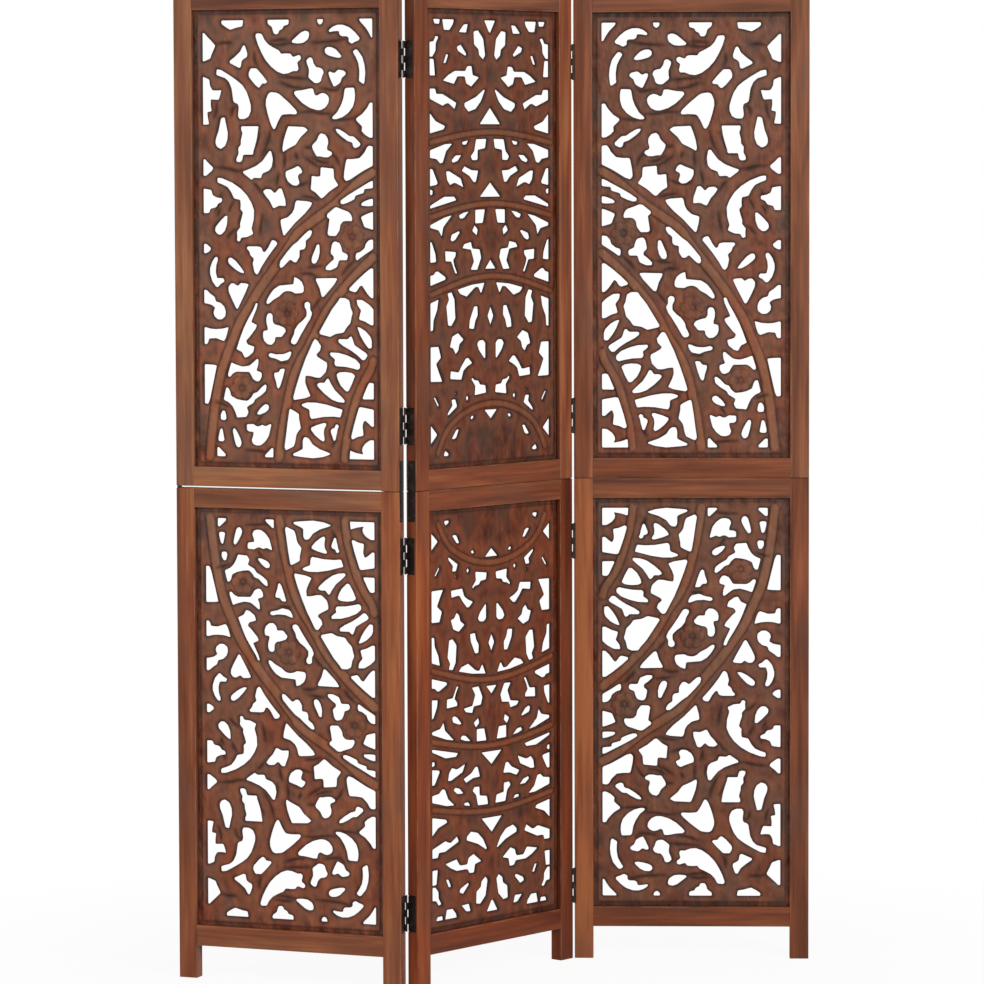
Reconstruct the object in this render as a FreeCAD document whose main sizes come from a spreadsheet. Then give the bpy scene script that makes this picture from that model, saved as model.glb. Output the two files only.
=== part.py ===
import FreeCAD, Part
import Sketcher
import math
import os

# Carved jali screen: three hinged panels, each made of an upper and a lower framed section that hold a
# pierced board. Every piece is drawn in its own panel's coordinates: x across the panel, y from its front
# face towards its back, z up from the floor. The finished screen stands on z = 0 with the middle of its
# footprint at the origin, and its front faces -Y.

sizes = {
    # one panel
    "panel_width": 400,
    "section_height": 825,
    "frame_thickness": 22,
    "stile_width": 32,
    "rail_height": 34,
    "leg_height": 55,
    # the board and the groove that holds it
    "groove_depth": 8,
    "groove_play": 0.05,
    "board_end_play": 0.3,
    "board_thickness": 7,
    "bevel_depth": 1.4,
    "bevel_width": 15,
    "field_side_margin": 16,
    "field_end_margin": 17.5,
    # the steel plates across the seam of the two sections
    "plate_length": 100,
    "plate_width": 15,
    "plate_thickness": 2,
    "recess_play": 0.4,
    # the hinges
    "hinge_length": 60,
    "leaf_width": 17,
    "leaf_thickness": 1.2,
    "leaf_sink": 1,
    "knuckle_radius": 1.8,
    "knuckle_gap": 0.2,
    "pin_radius": 0.9,
    "pin_clearance": 0.05,
    "pin_setback": 2.6,
    "edge_gap": 1,
    "hinge_from_top": 118,
    "hinge_from_seam": 107,
    "hinge_from_floor": 126,
    # how far each panel turns out of the picture plane, in degrees
    "left_turn": 20.7,
    "centre_turn": 49.3,
    "right_turn": 2,
}

# Openings of the side boards, as shares of the carved field's width and height. The width counts from the
# centre panel outwards, and the height from the outer rail to the seam rail.
side_opening_shares = [
    [(0, 0), (.078, .002), (.035, .022), (0, .043)],
    [(.071, .046), (.120, .024), (.190, .012), (.257, .027), (.190, .031), (.120, .056)],
    [(.368, .030), (.400, .025), (.473, .050), (.380, .047)],
    [(.486, 0), (.615, 0), (.577, .032), (.549, .032)],
    [(.756, 0), (.888, 0), (.836, .022), (.760, .014)],
    [(1, .027), (.922, .058), (.950, .086), (1, .094)],
    [(.687, .031), (.595, .108), (.510, .123), (.432, .116), (.416, .082), (.600, .058)],
    [(.085, .070), (.117, .076), (.080, .110), (.082, .142), (.050, .148), (.045, .105)],
    [(.152, .122), (.198, .113), (.259, .118), (.225, .154)],
    [(.358, .087), (.389, .094), (.374, .133), (.330, .146), (.284, .120)],
    [(.752, .056), (.842, .094), (.780, .109), (.732, .081)],
    [(.679, .110), (.728, .128), (.668, .155), (.615, .141)],
    [(.920, .111), (.845, .142), (.792, .222), (.712, .200), (.745, .155)],
    [(1, .128), (.948, .158), (.888, .160), (.950, .181), (.964, .237), (1, .238)],
    [(.106, .156), (.160, .157), (.178, .188), (.238, .226), (.165, .220), (.110, .192)],
    [(.348, .157), (.463, .165), (.405, .193), (.320, .206), (.255, .185)],
    [(.550, .168), (.603, .164), (.628, .190), (.583, .250), (.535, .217), (.445, .214)],
    [(0, .190), (.100, .227), (.065, .256), (0, .269)],
    [(.218, .248), (.115, .290), (.072, .287), (.115, .265)],
    [(.304, .258), (.357, .287), (.325, .312), (.239, .305), (.262, .268)],
    [(.382, .245), (.490, .242), (.531, .300), (.449, .281)],
    [(.670, .242), (.776, .241), (.806, .322), (.703, .306)],
    [(.869, .221), (.927, .275), (.895, .294), (.862, .281)],
    [(0, .288), (.085, .316), (.152, .317), (.170, .366), (0, .332)],
    [(.230, .339), (.307, .336), (.359, .355), (.365, .387), (.304, .407), (.200, .375)],
    [(.412, .345), (.438, .332), (.513, .345), (.485, .375), (.430, .372)],
    [(.600, .297), (.655, .324), (.768, .346), (.714, .365), (.592, .338)],
    [(.917, .360), (.782, .411), (.803, .500), (.706, .487), (.697, .435), (.740, .395)],
    [(1, .384), (.888, .408), (.968, .441), (1, .441)],
    [(.862, .446), (.934, .477), (.885, .487), (.862, .468)],
    [(.545, .384), (.648, .391), (.585, .430), (.510, .424)],
    [(.354, .416), (.450, .411), (.475, .440), (.545, .455), (.523, .492)],
    [(0, .366), (.196, .413), (.172, .420), (0, .383)],
    [(.217, .426), (.276, .445), (.268, .491), (.217, .492), (.185, .460), (.122, .457)],
    [(0, .437), (.073, .449), (.053, .472), (0, .477)],
    [(.362, .480), (.390, .482), (.556, .561), (.445, .552)],
    [(0, .499), (.040, .503), (.100, .532), (.100, .547), (0, .522)],
    [(.200, .506), (.237, .505), (.233, .546), (.281, .566), (.212, .563), (.148, .540)],
    [(.560, .509), (.640, .524), (.746, .518), (.683, .580)],
    [(.918, .541), (.964, .575), (.925, .610), (.878, .594), (.922, .587)],
    [(.732, .603), (.835, .601), (.857, .613), (.803, .660)],
    [(0, .565), (.146, .613), (.070, .603), (0, .632)],
    [(.208, .587), (.339, .587), (.298, .632)],
    [(.406, .620), (.415, .596), (.467, .585), (.560, .607), (.632, .648), (.500, .615)],
    [(.200, .633), (.323, .712), (.173, .711), (.121, .666)],
    [(0, .656), (.100, .637), (.087, .682), (0, .695)],
    [(.098, .699), (.035, .746), (.010, .744), (.020, .718)],
    [(.403, .647), (.395, .672), (.487, .735), (.460, .741), (.358, .668)],
    [(.600, .669), (.652, .715), (.620, .742), (.512, .709)],
    [(.688, .646), (.765, .702), (.808, .752), (.755, .773), (.750, .736), (.688, .698)],
    [(1, .617), (.875, .660), (.895, .687), (1, .648)],
    [(.853, .702), (1, .703), (1, .742), (.968, .730), (.885, .735)],
    [(.133, .720), (.209, .728), (.062, .774), (.034, .764), (.105, .743)],
    [(.347, .727), (.392, .757), (.479, .867), (.370, .857),
     (.400, .812), (.310, .816), (.272, .780), (.335, .764)],
    [(.077, .785), (.150, .763), (.257, .757), (.230, .787), (.090, .796)],
    [(.109, .806), (.165, .800), (.219, .807), (.155, .847)],
    [(.270, .816), (.336, .828), (.290, .855), (.172, .871)],
    [(.520, .796), (.587, .806), (.568, .842), (.556, .842)],
    [(.682, .774), (.760, .793), (.842, .783), (.862, .816), (.780, .802), (.675, .826)],
    [(.632, .833), (.745, .871), (.838, .862), (.862, .840), (.889, .870), (.808, .909), (.745, .883)],
    [(.925, .789), (1, .788), (1, .880), (.980, .880)],
    [(0, .826), (.028, .825), (.067, .863), (0, .863)],
    [(.184, .887), (.300, .874), (.428, .876), (.376, .910), (.198, .905)],
    [(0, .887), (.085, .881), (.139, .954), (0, .926)],
    [(.278, .919), (.372, .932), (.295, .962), (.290, .930)],
    [(.438, .900), (.497, .887), (.531, .978), (.470, .973), (.428, .930)],
    [(.603, .923), (.752, .926), (.690, .975), (.630, .957)],
    [(0, .955), (.060, .965), (.066, .988), (.145, .980), (.145, 1), (0, 1)],
    [(.254, .990), (.395, .951), (.421, .979), (.478, .995), (.380, 1)],
]

# Openings in the left half of the centre boards. Each has a twin mirrored about the middle of the field.
centre_pair_shares = [
    [(.104, 0), (.207, 0), (.170, .024), (.117, .024)],
    [(.362, .026), (.405, .023), (.450, .042), (.466, .082), (.445, .091), (.366, .056)],
    [(0, .052), (.080, .040), (.050, .075), (0, .086)],
    [(0, .090), (.040, .091), (.051, .128), (0, .128)],
    [(.108, .139), (.205, .117), (.292, .117), (.352, .105),
     (.413, .131), (.345, .153), (.288, .129), (.205, .147)],
    [(0, .158), (.052, .158), (.226, .190), (.208, .205), (0, .181)],
    [(.463, .158), (.385, .203), (.320, .210), (.285, .194)],
    [(0, .211), (.132, .243), (.120, .250), (0, .260)],
    [(0, .298), (.190, .283), (.100, .328), (0, .315)],
    [(.380, .273), (.473, .272), (.463, .293), (.402, .297), (.398, .321), (.338, .314)],
    [(0, .337), (.070, .374), (0, .380)],
    [(.260, .345), (.285, .334), (.405, .345), (.358, .371)],
    [(.131, .346), (.260, .363), (.282, .384), (.140, .368)],
    [(0, .424), (.205, .404), (.222, .412), (0, .431)],
    [(0, .468), (.187, .446), (.105, .495), (0, .474)],
    [(.372, .435), (.460, .434), (.442, .465), (.372, .466)],
    [(.122, .528), (.218, .531), (.185, .551), (.125, .551)],
    [(.264, .522), (.342, .508), (.355, .524), (.415, .526),
     (.428, .545), (.395, .573), (.333, .572), (.335, .526)],
    [(0, .583), (.060, .574), (.133, .590), (0, .607)],
    [(.223, .617), (.455, .603), (.428, .627), (.375, .613), (.305, .634)],
    [(0, .646), (.074, .637), (.028, .708), (0, .710)],
    [(.150, .639), (.205, .640), (.212, .683), (.144, .698), (.130, .655)],
    [(.360, .657), (.395, .657), (.398, .678), (.365, .709), (.318, .707)],
    [(.158, .748), (.178, .724), (.230, .716), (.279, .732), (.208, .766)],
    [(.384, .744), (.420, .735), (.460, .742), (.460, .777)],
    [(0, .746), (.072, .746), (.092, .771), (.052, .785), (.102, .826), (0, .825)],
    [(.292, .775), (.350, .787), (.280, .803), (.260, .824), (.160, .821), (.165, .803), (.240, .805)],
    [(.335, .822), (.460, .840), (.466, .857), (.363, .862)],
    [(.170, .869), (.208, .868), (.224, .885), (.140, .905)],
    [(0, .923), (.060, .947), (0, .970)],
]

# Openings on the middle line of the centre boards.
centre_middle_shares = [
    [(.451, 0), (.549, 0), (.500, .028)],
    [(.500, .199), (.589, .238), (.411, .238)],
    [(.500, .371), (.589, .405), (.411, .405)],
    [(.500, .549), (.547, .571), (.453, .571)],
    [(.500, .656), (.528, .680), (.500, .704), (.472, .680)],
    [(.444, .897), (.556, .897), (.500, .919)],
]

# Formulas that several pieces share.
GROOVE_WIDTH = (
    "(Sizes.board_thickness - 2 * Sizes.bevel_depth + 2 * Sizes.groove_play"
    " + 2 * Sizes.bevel_depth * (Sizes.groove_depth - Sizes.board_end_play) / Sizes.bevel_width)"
)
GROOVE_FRONT = "(Sizes.frame_thickness - %s) / 2" % GROOVE_WIDTH
INNER_WIDTH = "(Sizes.panel_width - 2 * Sizes.stile_width)"
RIGHT_STILE = "(Sizes.panel_width - Sizes.stile_width)"
BOARD_REACH = "(Sizes.groove_depth - Sizes.board_end_play)"
SECTION_FLOOR = {"lower": "0", "upper": "Sizes.section_height"}
FRAME_FLOOR = {"lower": "Sizes.leg_height", "upper": "Sizes.section_height"}
SECTION_TOP = {"lower": "Sizes.section_height", "upper": "(2 * Sizes.section_height)"}
HINGE_HEIGHTS = {
    "lower": ("Sizes.hinge_from_floor", "(Sizes.section_height - Sizes.hinge_from_seam)"),
    "upper": ("(Sizes.section_height + Sizes.hinge_from_seam)",
              "(2 * Sizes.section_height - Sizes.hinge_from_top)"),
}
# The leaves lie a little below the stiles' outer edges.
LEAF_DEPTH = "(Sizes.leaf_sink + Sizes.leaf_thickness)"
# A rolled knuckle's outside has this many flats; its bore and the pin are round.
KNUCKLE_SIDES = 12
# The panel edges that carry hinges, and the face that their pins stand on.
HINGED_EDGES = {
    ("left", "right"): "back",
    ("centre", "left"): "back",
    ("centre", "right"): "front",
    ("right", "left"): "front",
}

doc = FreeCAD.newDocument("jali_screen")
sheet = doc.addObject("Spreadsheet::Sheet", "Sizes")
bodies = []


def fill_sheet():
    for row, (alias, value) in enumerate(sizes.items(), start=1):
        sheet.set("A%d" % row, alias.replace("_", " "))
        sheet.set("B%d" % row, str(value))
        sheet.setAlias("B%d" % row, alias)
    doc.recompute()


def size(alias):
    return float(sheet.get(alias))


def bind(feature, formulas):
    for prop, formula in formulas.items():
        feature.setExpression(prop, formula)


def turned(degrees):
    # the directions across and into a panel that is turned by this angle
    angle = math.radians(degrees)
    across = FreeCAD.Vector(math.cos(angle), math.sin(angle), 0)
    return across, FreeCAD.Vector(-across.y, across.x, 0)


def panel_placements():
    # The left panel's pins stand behind its back face and the right panel's before its front face.
    turns = {"left": -size("left_turn"), "centre": size("centre_turn"), "right": -size("right_turn")}
    width, half_gap, setback = size("panel_width"), size("edge_gap") / 2, size("pin_setback")
    behind = size("frame_thickness") + setback
    across, inward = turned(turns["centre"])
    left_pin = inward * behind - across * half_gap
    right_pin = across * (width + half_gap) - inward * setback
    starts = {"centre": FreeCAD.Vector()}
    across, inward = turned(turns["left"])
    starts["left"] = left_pin - across * (width + half_gap) - inward * behind
    across, inward = turned(turns["right"])
    starts["right"] = right_pin + across * half_gap + inward * setback
    corners = []
    for panel, degrees in turns.items():
        across, inward = turned(degrees)
        for depth in (0, size("frame_thickness")):
            near = starts[panel] + inward * depth
            corners += [near, near + across * width]
    footprint = FreeCAD.BoundBox()
    for corner in corners:
        footprint.add(corner)
    upright = FreeCAD.Vector(0, 0, 1)
    return {
        panel: FreeCAD.Placement(starts[panel] - footprint.Center, FreeCAD.Rotation(upright, degrees))
        for panel, degrees in turns.items()
    }


def new_body(label, panel):
    body = doc.addObject("PartDesign::Body", label)
    body.Label = label
    body.Placement = placements[panel]
    bodies.append(body)
    return body


def place_foot(feature, foot):
    bind(feature, dict(zip(("Placement.Base.x", "Placement.Base.y", "Placement.Base.z"), foot)))


def box(body, kind, name, corner, spans):
    # kind is Additive or Subtractive; corner and spans are formulas along x, y and z
    feature = body.newObject("PartDesign::%sBox" % kind, name)
    place_foot(feature, corner)
    bind(feature, dict(zip(("Length", "Width", "Height"), spans)))


def post(body, kind, name, foot, radius, height):
    feature = body.newObject("PartDesign::%sCylinder" % kind, name)
    place_foot(feature, foot)
    bind(feature, {"Radius": radius, "Height": height})


def make_stile(panel, section, side):
    body = new_body("%s_%s_%s_stile" % (panel, section, side), panel)
    on_left = side == "left"
    floor, top = SECTION_FLOOR[section], SECTION_TOP[section]
    box(body, "Additive", "Timber", ("0" if on_left else RIGHT_STILE, "0", floor),
        ("Sizes.stile_width", "Sizes.frame_thickness", "Sizes.section_height"))
    # the groove starts at the underside of the bottom rail
    groove_x = "Sizes.stile_width - Sizes.groove_depth" if on_left else RIGHT_STILE
    box(body, "Subtractive", "Groove", (groove_x, GROOVE_FRONT, FRAME_FLOOR[section]),
        ("Sizes.groove_depth", GROOVE_WIDTH, "%s - %s" % (top, FRAME_FLOOR[section])))
    recess_span = "(Sizes.plate_length / 2 + Sizes.recess_play)"
    plate_floor = "Sizes.section_height - %s" % recess_span if section == "lower" else "Sizes.section_height"
    box(body, "Subtractive", "PlateRecess",
        ("0" if on_left else "Sizes.panel_width - Sizes.plate_thickness",
         "(Sizes.frame_thickness - Sizes.plate_width) / 2 - Sizes.recess_play", plate_floor),
        ("Sizes.plate_thickness", "Sizes.plate_width + 2 * Sizes.recess_play", recess_span))
    pin_face = HINGED_EDGES.get((panel, side))
    if pin_face:
        leaf_y = "Sizes.frame_thickness - Sizes.leaf_width - Sizes.recess_play" if pin_face == "back" else "0"
        for middle in HINGE_HEIGHTS[section]:
            box(body, "Subtractive", "LeafRecess",
                ("0" if on_left else "Sizes.panel_width - %s" % LEAF_DEPTH, leaf_y,
                 "%s - Sizes.hinge_length / 2 - Sizes.recess_play" % middle),
                (LEAF_DEPTH, "Sizes.leaf_width + Sizes.recess_play",
                 "Sizes.hinge_length + 2 * Sizes.recess_play"))


def make_rail(panel, section, level):
    # The rail's stub tenons fill the stiles' grooves, and its own groove takes the board's edge.
    body = new_body("%s_%s_%s_rail" % (panel, section, level), panel)
    if level == "top":
        rail_floor = "%s - Sizes.rail_height" % SECTION_TOP[section]
        groove_floor = rail_floor
        tenon_floor = "%s + Sizes.groove_depth" % rail_floor
    else:
        rail_floor = FRAME_FLOOR[section]
        groove_floor = "%s + Sizes.rail_height - Sizes.groove_depth" % rail_floor
        tenon_floor = rail_floor
    box(body, "Additive", "Timber", ("Sizes.stile_width", "0", rail_floor),
        (INNER_WIDTH, "Sizes.frame_thickness", "Sizes.rail_height"))
    box(body, "Additive", "Tenons", ("Sizes.stile_width - Sizes.groove_depth", GROOVE_FRONT, tenon_floor),
        ("%s + 2 * Sizes.groove_depth" % INNER_WIDTH, GROOVE_WIDTH, "Sizes.rail_height - Sizes.groove_depth"))
    box(body, "Subtractive", "Groove", ("Sizes.stile_width", GROOVE_FRONT, groove_floor),
        (INNER_WIDTH, GROOVE_WIDTH, "Sizes.groove_depth"))


def mid_sketch(body, name):
    # a sketch on the upright plane halfway through the frame's thickness
    sketch = body.newObject("Sketcher::SketchObject", name)
    upright = [plane for plane in body.Origin.OriginFeatures if plane.Role == "XZ_Plane"][0]
    sketch.AttachmentSupport = [(upright, "")]
    sketch.MapMode = "FlatFace"
    sketch.setExpression("AttachmentOffset.Base.z", "-Sizes.frame_thickness / 2")
    return sketch


def closed_lines(points):
    return [Part.LineSegment(here, there) for here, there in zip(points, points[1:] + points[:1])]


def draw_rectangle(sketch, left, floor, width, height):
    # the rectangle starts at the drawn size and its constraints then hold it to the formulas
    unit = size("board_thickness")
    corners = [FreeCAD.Vector(unit * x, unit * z, 0) for x, z in ((1, 1), (2, 1), (2, 2), (1, 2))]
    sketch.addGeometry(closed_lines(corners), False)
    for line in range(4):
        sketch.addConstraint(Sketcher.Constraint("Coincident", line, 2, (line + 1) % 4, 1))
        sketch.addConstraint(Sketcher.Constraint("Vertical" if line % 2 else "Horizontal", line))
    driven = (
        (("DistanceX", -1, 1, 0, 1, unit), left),
        (("DistanceY", -1, 1, 0, 1, unit), floor),
        (("DistanceX", 0, 1, 0, 2, unit), width),
        (("DistanceY", 1, 1, 1, 2, unit), height),
    )
    for constraint, formula in driven:
        index = sketch.addConstraint(Sketcher.Constraint(*constraint))
        sketch.setExpression("Constraints[%d]" % index, formula)


def rim_edges(shape):
    # the edges that run round the board's front and back faces, found by their ends
    bounds = shape.BoundBox
    reach = size("bevel_depth")

    def at_corner(point):
        across = min(point.x - bounds.XMin, bounds.XMax - point.x)
        up = min(point.z - bounds.ZMin, bounds.ZMax - point.z)
        return across < reach and up < reach

    names = []
    for number, edge in enumerate(shape.Edges, start=1):
        start, end = (vertex.Point for vertex in edge.Vertexes)
        if at_corner(start) and at_corner(end) and abs(start.y - end.y) < reach:
            names.append("Edge%d" % number)
    return names


def field_outlines(panel):
    # every opening of a panel's board, as shares counted from its left stile and its outer rail
    if panel == "centre":
        twins = [[(1 - across, along) for across, along in outline] for outline in centre_pair_shares]
        return centre_pair_shares + twins + centre_middle_shares
    if panel == "left":
        return [[(1 - across, along) for across, along in outline] for outline in side_opening_shares]
    return side_opening_shares


def field_points(outline, section):
    left = size("stile_width") + size("field_side_margin")
    right = size("panel_width") - left
    inset = size("rail_height") + size("field_end_margin")
    seam = size("section_height")
    if section == "upper":
        outer, inner = 2 * seam - inset, seam + inset
    else:
        outer, inner = size("leg_height") + inset, seam - inset
    return [FreeCAD.Vector(left + (right - left) * across, outer + (inner - outer) * along, 0)
            for across, along in outline]


def make_board(panel, section):
    body = new_body("%s_%s_carved_board" % (panel, section), panel)
    opening_floor = "%s + Sizes.rail_height" % FRAME_FLOOR[section]
    opening_height = "%s - Sizes.rail_height - (%s)" % (SECTION_TOP[section], opening_floor)
    blank = mid_sketch(body, "Blank")
    draw_rectangle(
        blank,
        "Sizes.stile_width - %s" % BOARD_REACH,
        "%s - %s" % (opening_floor, BOARD_REACH),
        "%s + 2 * %s" % (INNER_WIDTH, BOARD_REACH),
        "%s + 2 * %s" % (opening_height, BOARD_REACH),
    )
    for outline in field_outlines(panel):
        blank.addGeometry(closed_lines(field_points(outline, section)), False)
    board = body.newObject("PartDesign::Pad", "PiercedBoard")
    board.Profile = blank
    board.SideType = "Symmetric"
    bind(board, {"Length": "Sizes.board_thickness"})
    doc.recompute()
    bevel = body.newObject("PartDesign::Chamfer", "Bevel")
    bevel.Base = (board, rim_edges(board.Shape))
    bevel.ChamferType = "Two distances"
    bind(bevel, {"Size": "Sizes.bevel_depth", "Size2": "Sizes.bevel_width"})


def make_seam_plate(panel, side):
    body = new_body("%s_%s_seam_plate" % (panel, side), panel)
    box(body, "Additive", "Plate",
        ("0" if side == "left" else "Sizes.panel_width - Sizes.plate_thickness",
         "(Sizes.frame_thickness - Sizes.plate_width) / 2", "Sizes.section_height - Sizes.plate_length / 2"),
        ("Sizes.plate_thickness", "Sizes.plate_width", "Sizes.plate_length"))


def make_leaf(panel, side, number, middle):
    # The centre panel's leaves keep the pin in their two outer knuckles. The side panels' leaves have one
    # bored knuckle between them, which turns on the pin. A neck runs past the face from the leaf, and an arm
    # from the neck to the knuckle.
    body = new_body("%s_%s_hinge_leaf_%d" % (panel, side, number), panel)
    on_left = side == "left"
    on_back = HINGED_EDGES[panel, side] == "back"
    leaf_x = "Sizes.leaf_sink" if on_left else "Sizes.panel_width - %s" % LEAF_DEPTH
    foot = "%s - Sizes.hinge_length / 2" % middle
    box(body, "Additive", "Leaf",
        (leaf_x, "Sizes.frame_thickness - Sizes.leaf_width" if on_back else "0", foot),
        ("Sizes.leaf_thickness", "Sizes.leaf_width", "Sizes.hinge_length"))
    pin_x = "-Sizes.edge_gap / 2" if on_left else "Sizes.panel_width + Sizes.edge_gap / 2"
    pin_y = "Sizes.frame_thickness + Sizes.pin_setback" if on_back else "-Sizes.pin_setback"
    neck_length = "(Sizes.pin_setback + Sizes.leaf_thickness / 2)"
    neck_y = "Sizes.frame_thickness" if on_back else "-%s" % neck_length
    if panel == "centre":
        span = "(Sizes.hinge_length / 3)"
        spans = [(foot, span), ("%s + 2 * %s" % (foot, span), span)]
    else:
        spans = [("%s + Sizes.hinge_length / 3 + Sizes.knuckle_gap" % foot,
                  "(Sizes.hinge_length / 3 - 2 * Sizes.knuckle_gap)")]
    for floor, span in spans:
        box(body, "Additive", "Neck", (leaf_x, neck_y, floor), ("Sizes.leaf_thickness", neck_length, span))
        box(body, "Additive", "Arm",
            (pin_x if on_left else leaf_x, "%s - Sizes.leaf_thickness / 2" % pin_y, floor),
            ("Sizes.edge_gap / 2 + %s" % LEAF_DEPTH, "Sizes.leaf_thickness", span))
        knuckle = body.newObject("PartDesign::AdditivePrism", "Knuckle")
        knuckle.Polygon = KNUCKLE_SIDES
        place_foot(knuckle, (pin_x, pin_y, floor))
        bind(knuckle, {"Circumradius": "Sizes.knuckle_radius", "Height": span})
    if panel == "centre":
        post(body, "Additive", "Pin", (pin_x, pin_y, foot), "Sizes.pin_radius", "Sizes.hinge_length")
    else:
        post(body, "Subtractive", "Bore", (pin_x, pin_y, foot), "Sizes.pin_radius + Sizes.pin_clearance",
             "Sizes.hinge_length")


def make_panel(panel):
    for section in ("upper", "lower"):
        for side in ("left", "right"):
            make_stile(panel, section, side)
        for level in ("top", "bottom"):
            make_rail(panel, section, level)
        make_board(panel, section)
    for side in ("left", "right"):
        make_seam_plate(panel, side)
        if (panel, side) in HINGED_EDGES:
            for number, middle in enumerate(HINGE_HEIGHTS["lower"] + HINGE_HEIGHTS["upper"], start=1):
                make_leaf(panel, side, number, middle)


def check_model():
    for item in doc.Objects:
        if "Invalid" in item.State or "Error" in item.State:
            raise RuntimeError("%s did not build" % item.Label)
    for body in bodies:
        if body.Shape.isNull() or not body.Shape.isValid():
            raise RuntimeError("%s has no sound shape" % body.Label)
        if len(body.Shape.Solids) != 1:
            raise RuntimeError("%s is not one solid" % body.Label)


def export_parts():
    os.makedirs("parts", exist_ok=True)
    for body in bodies:
        body.Shape.exportStep(os.path.join("parts", body.Label + ".step"))


fill_sheet()
placements = panel_placements()
for panel_name in ("left", "centre", "right"):
    make_panel(panel_name)
doc.recompute()
check_model()
export_parts()
print("parts written: %d" % len(bodies))
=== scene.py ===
import bpy
import bmesh
import math
from mathutils import Matrix, Vector, geometry, kdtree
import numpy as np


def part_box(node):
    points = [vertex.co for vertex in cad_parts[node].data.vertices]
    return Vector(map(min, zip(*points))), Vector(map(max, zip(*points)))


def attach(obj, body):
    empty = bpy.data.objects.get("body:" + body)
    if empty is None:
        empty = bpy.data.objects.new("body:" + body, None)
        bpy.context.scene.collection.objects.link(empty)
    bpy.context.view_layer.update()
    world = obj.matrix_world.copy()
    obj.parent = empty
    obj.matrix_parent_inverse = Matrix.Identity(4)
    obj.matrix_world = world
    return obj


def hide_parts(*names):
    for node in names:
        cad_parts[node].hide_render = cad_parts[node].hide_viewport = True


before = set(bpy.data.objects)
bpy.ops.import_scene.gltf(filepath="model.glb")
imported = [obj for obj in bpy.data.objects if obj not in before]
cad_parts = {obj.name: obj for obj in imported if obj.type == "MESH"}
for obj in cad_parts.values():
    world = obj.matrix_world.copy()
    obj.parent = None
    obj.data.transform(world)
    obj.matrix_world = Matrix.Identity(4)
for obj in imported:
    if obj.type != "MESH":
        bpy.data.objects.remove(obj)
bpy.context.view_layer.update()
print("frame loaded:", len(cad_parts), "CAD nodes")

mm = 0.001

# A folding screen in a dark red-brown stain. Every piece is made in its own panel's coordinates, in mm:
# x across the panel, y from its front face to its back, z up from the floor. The margins are how far the
# carved field lies inside the stiles and rails.
screen = {
    "panelWidth": 400, "sectionHeight": 825, "thickness": 22, "stileWidth": 32, "railHeight": 34,
    "legHeight": 55, "sideMargin": 16, "endMargin": 17.5, "pinSetback": 2.6, "edgeGap": 1,
}

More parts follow.
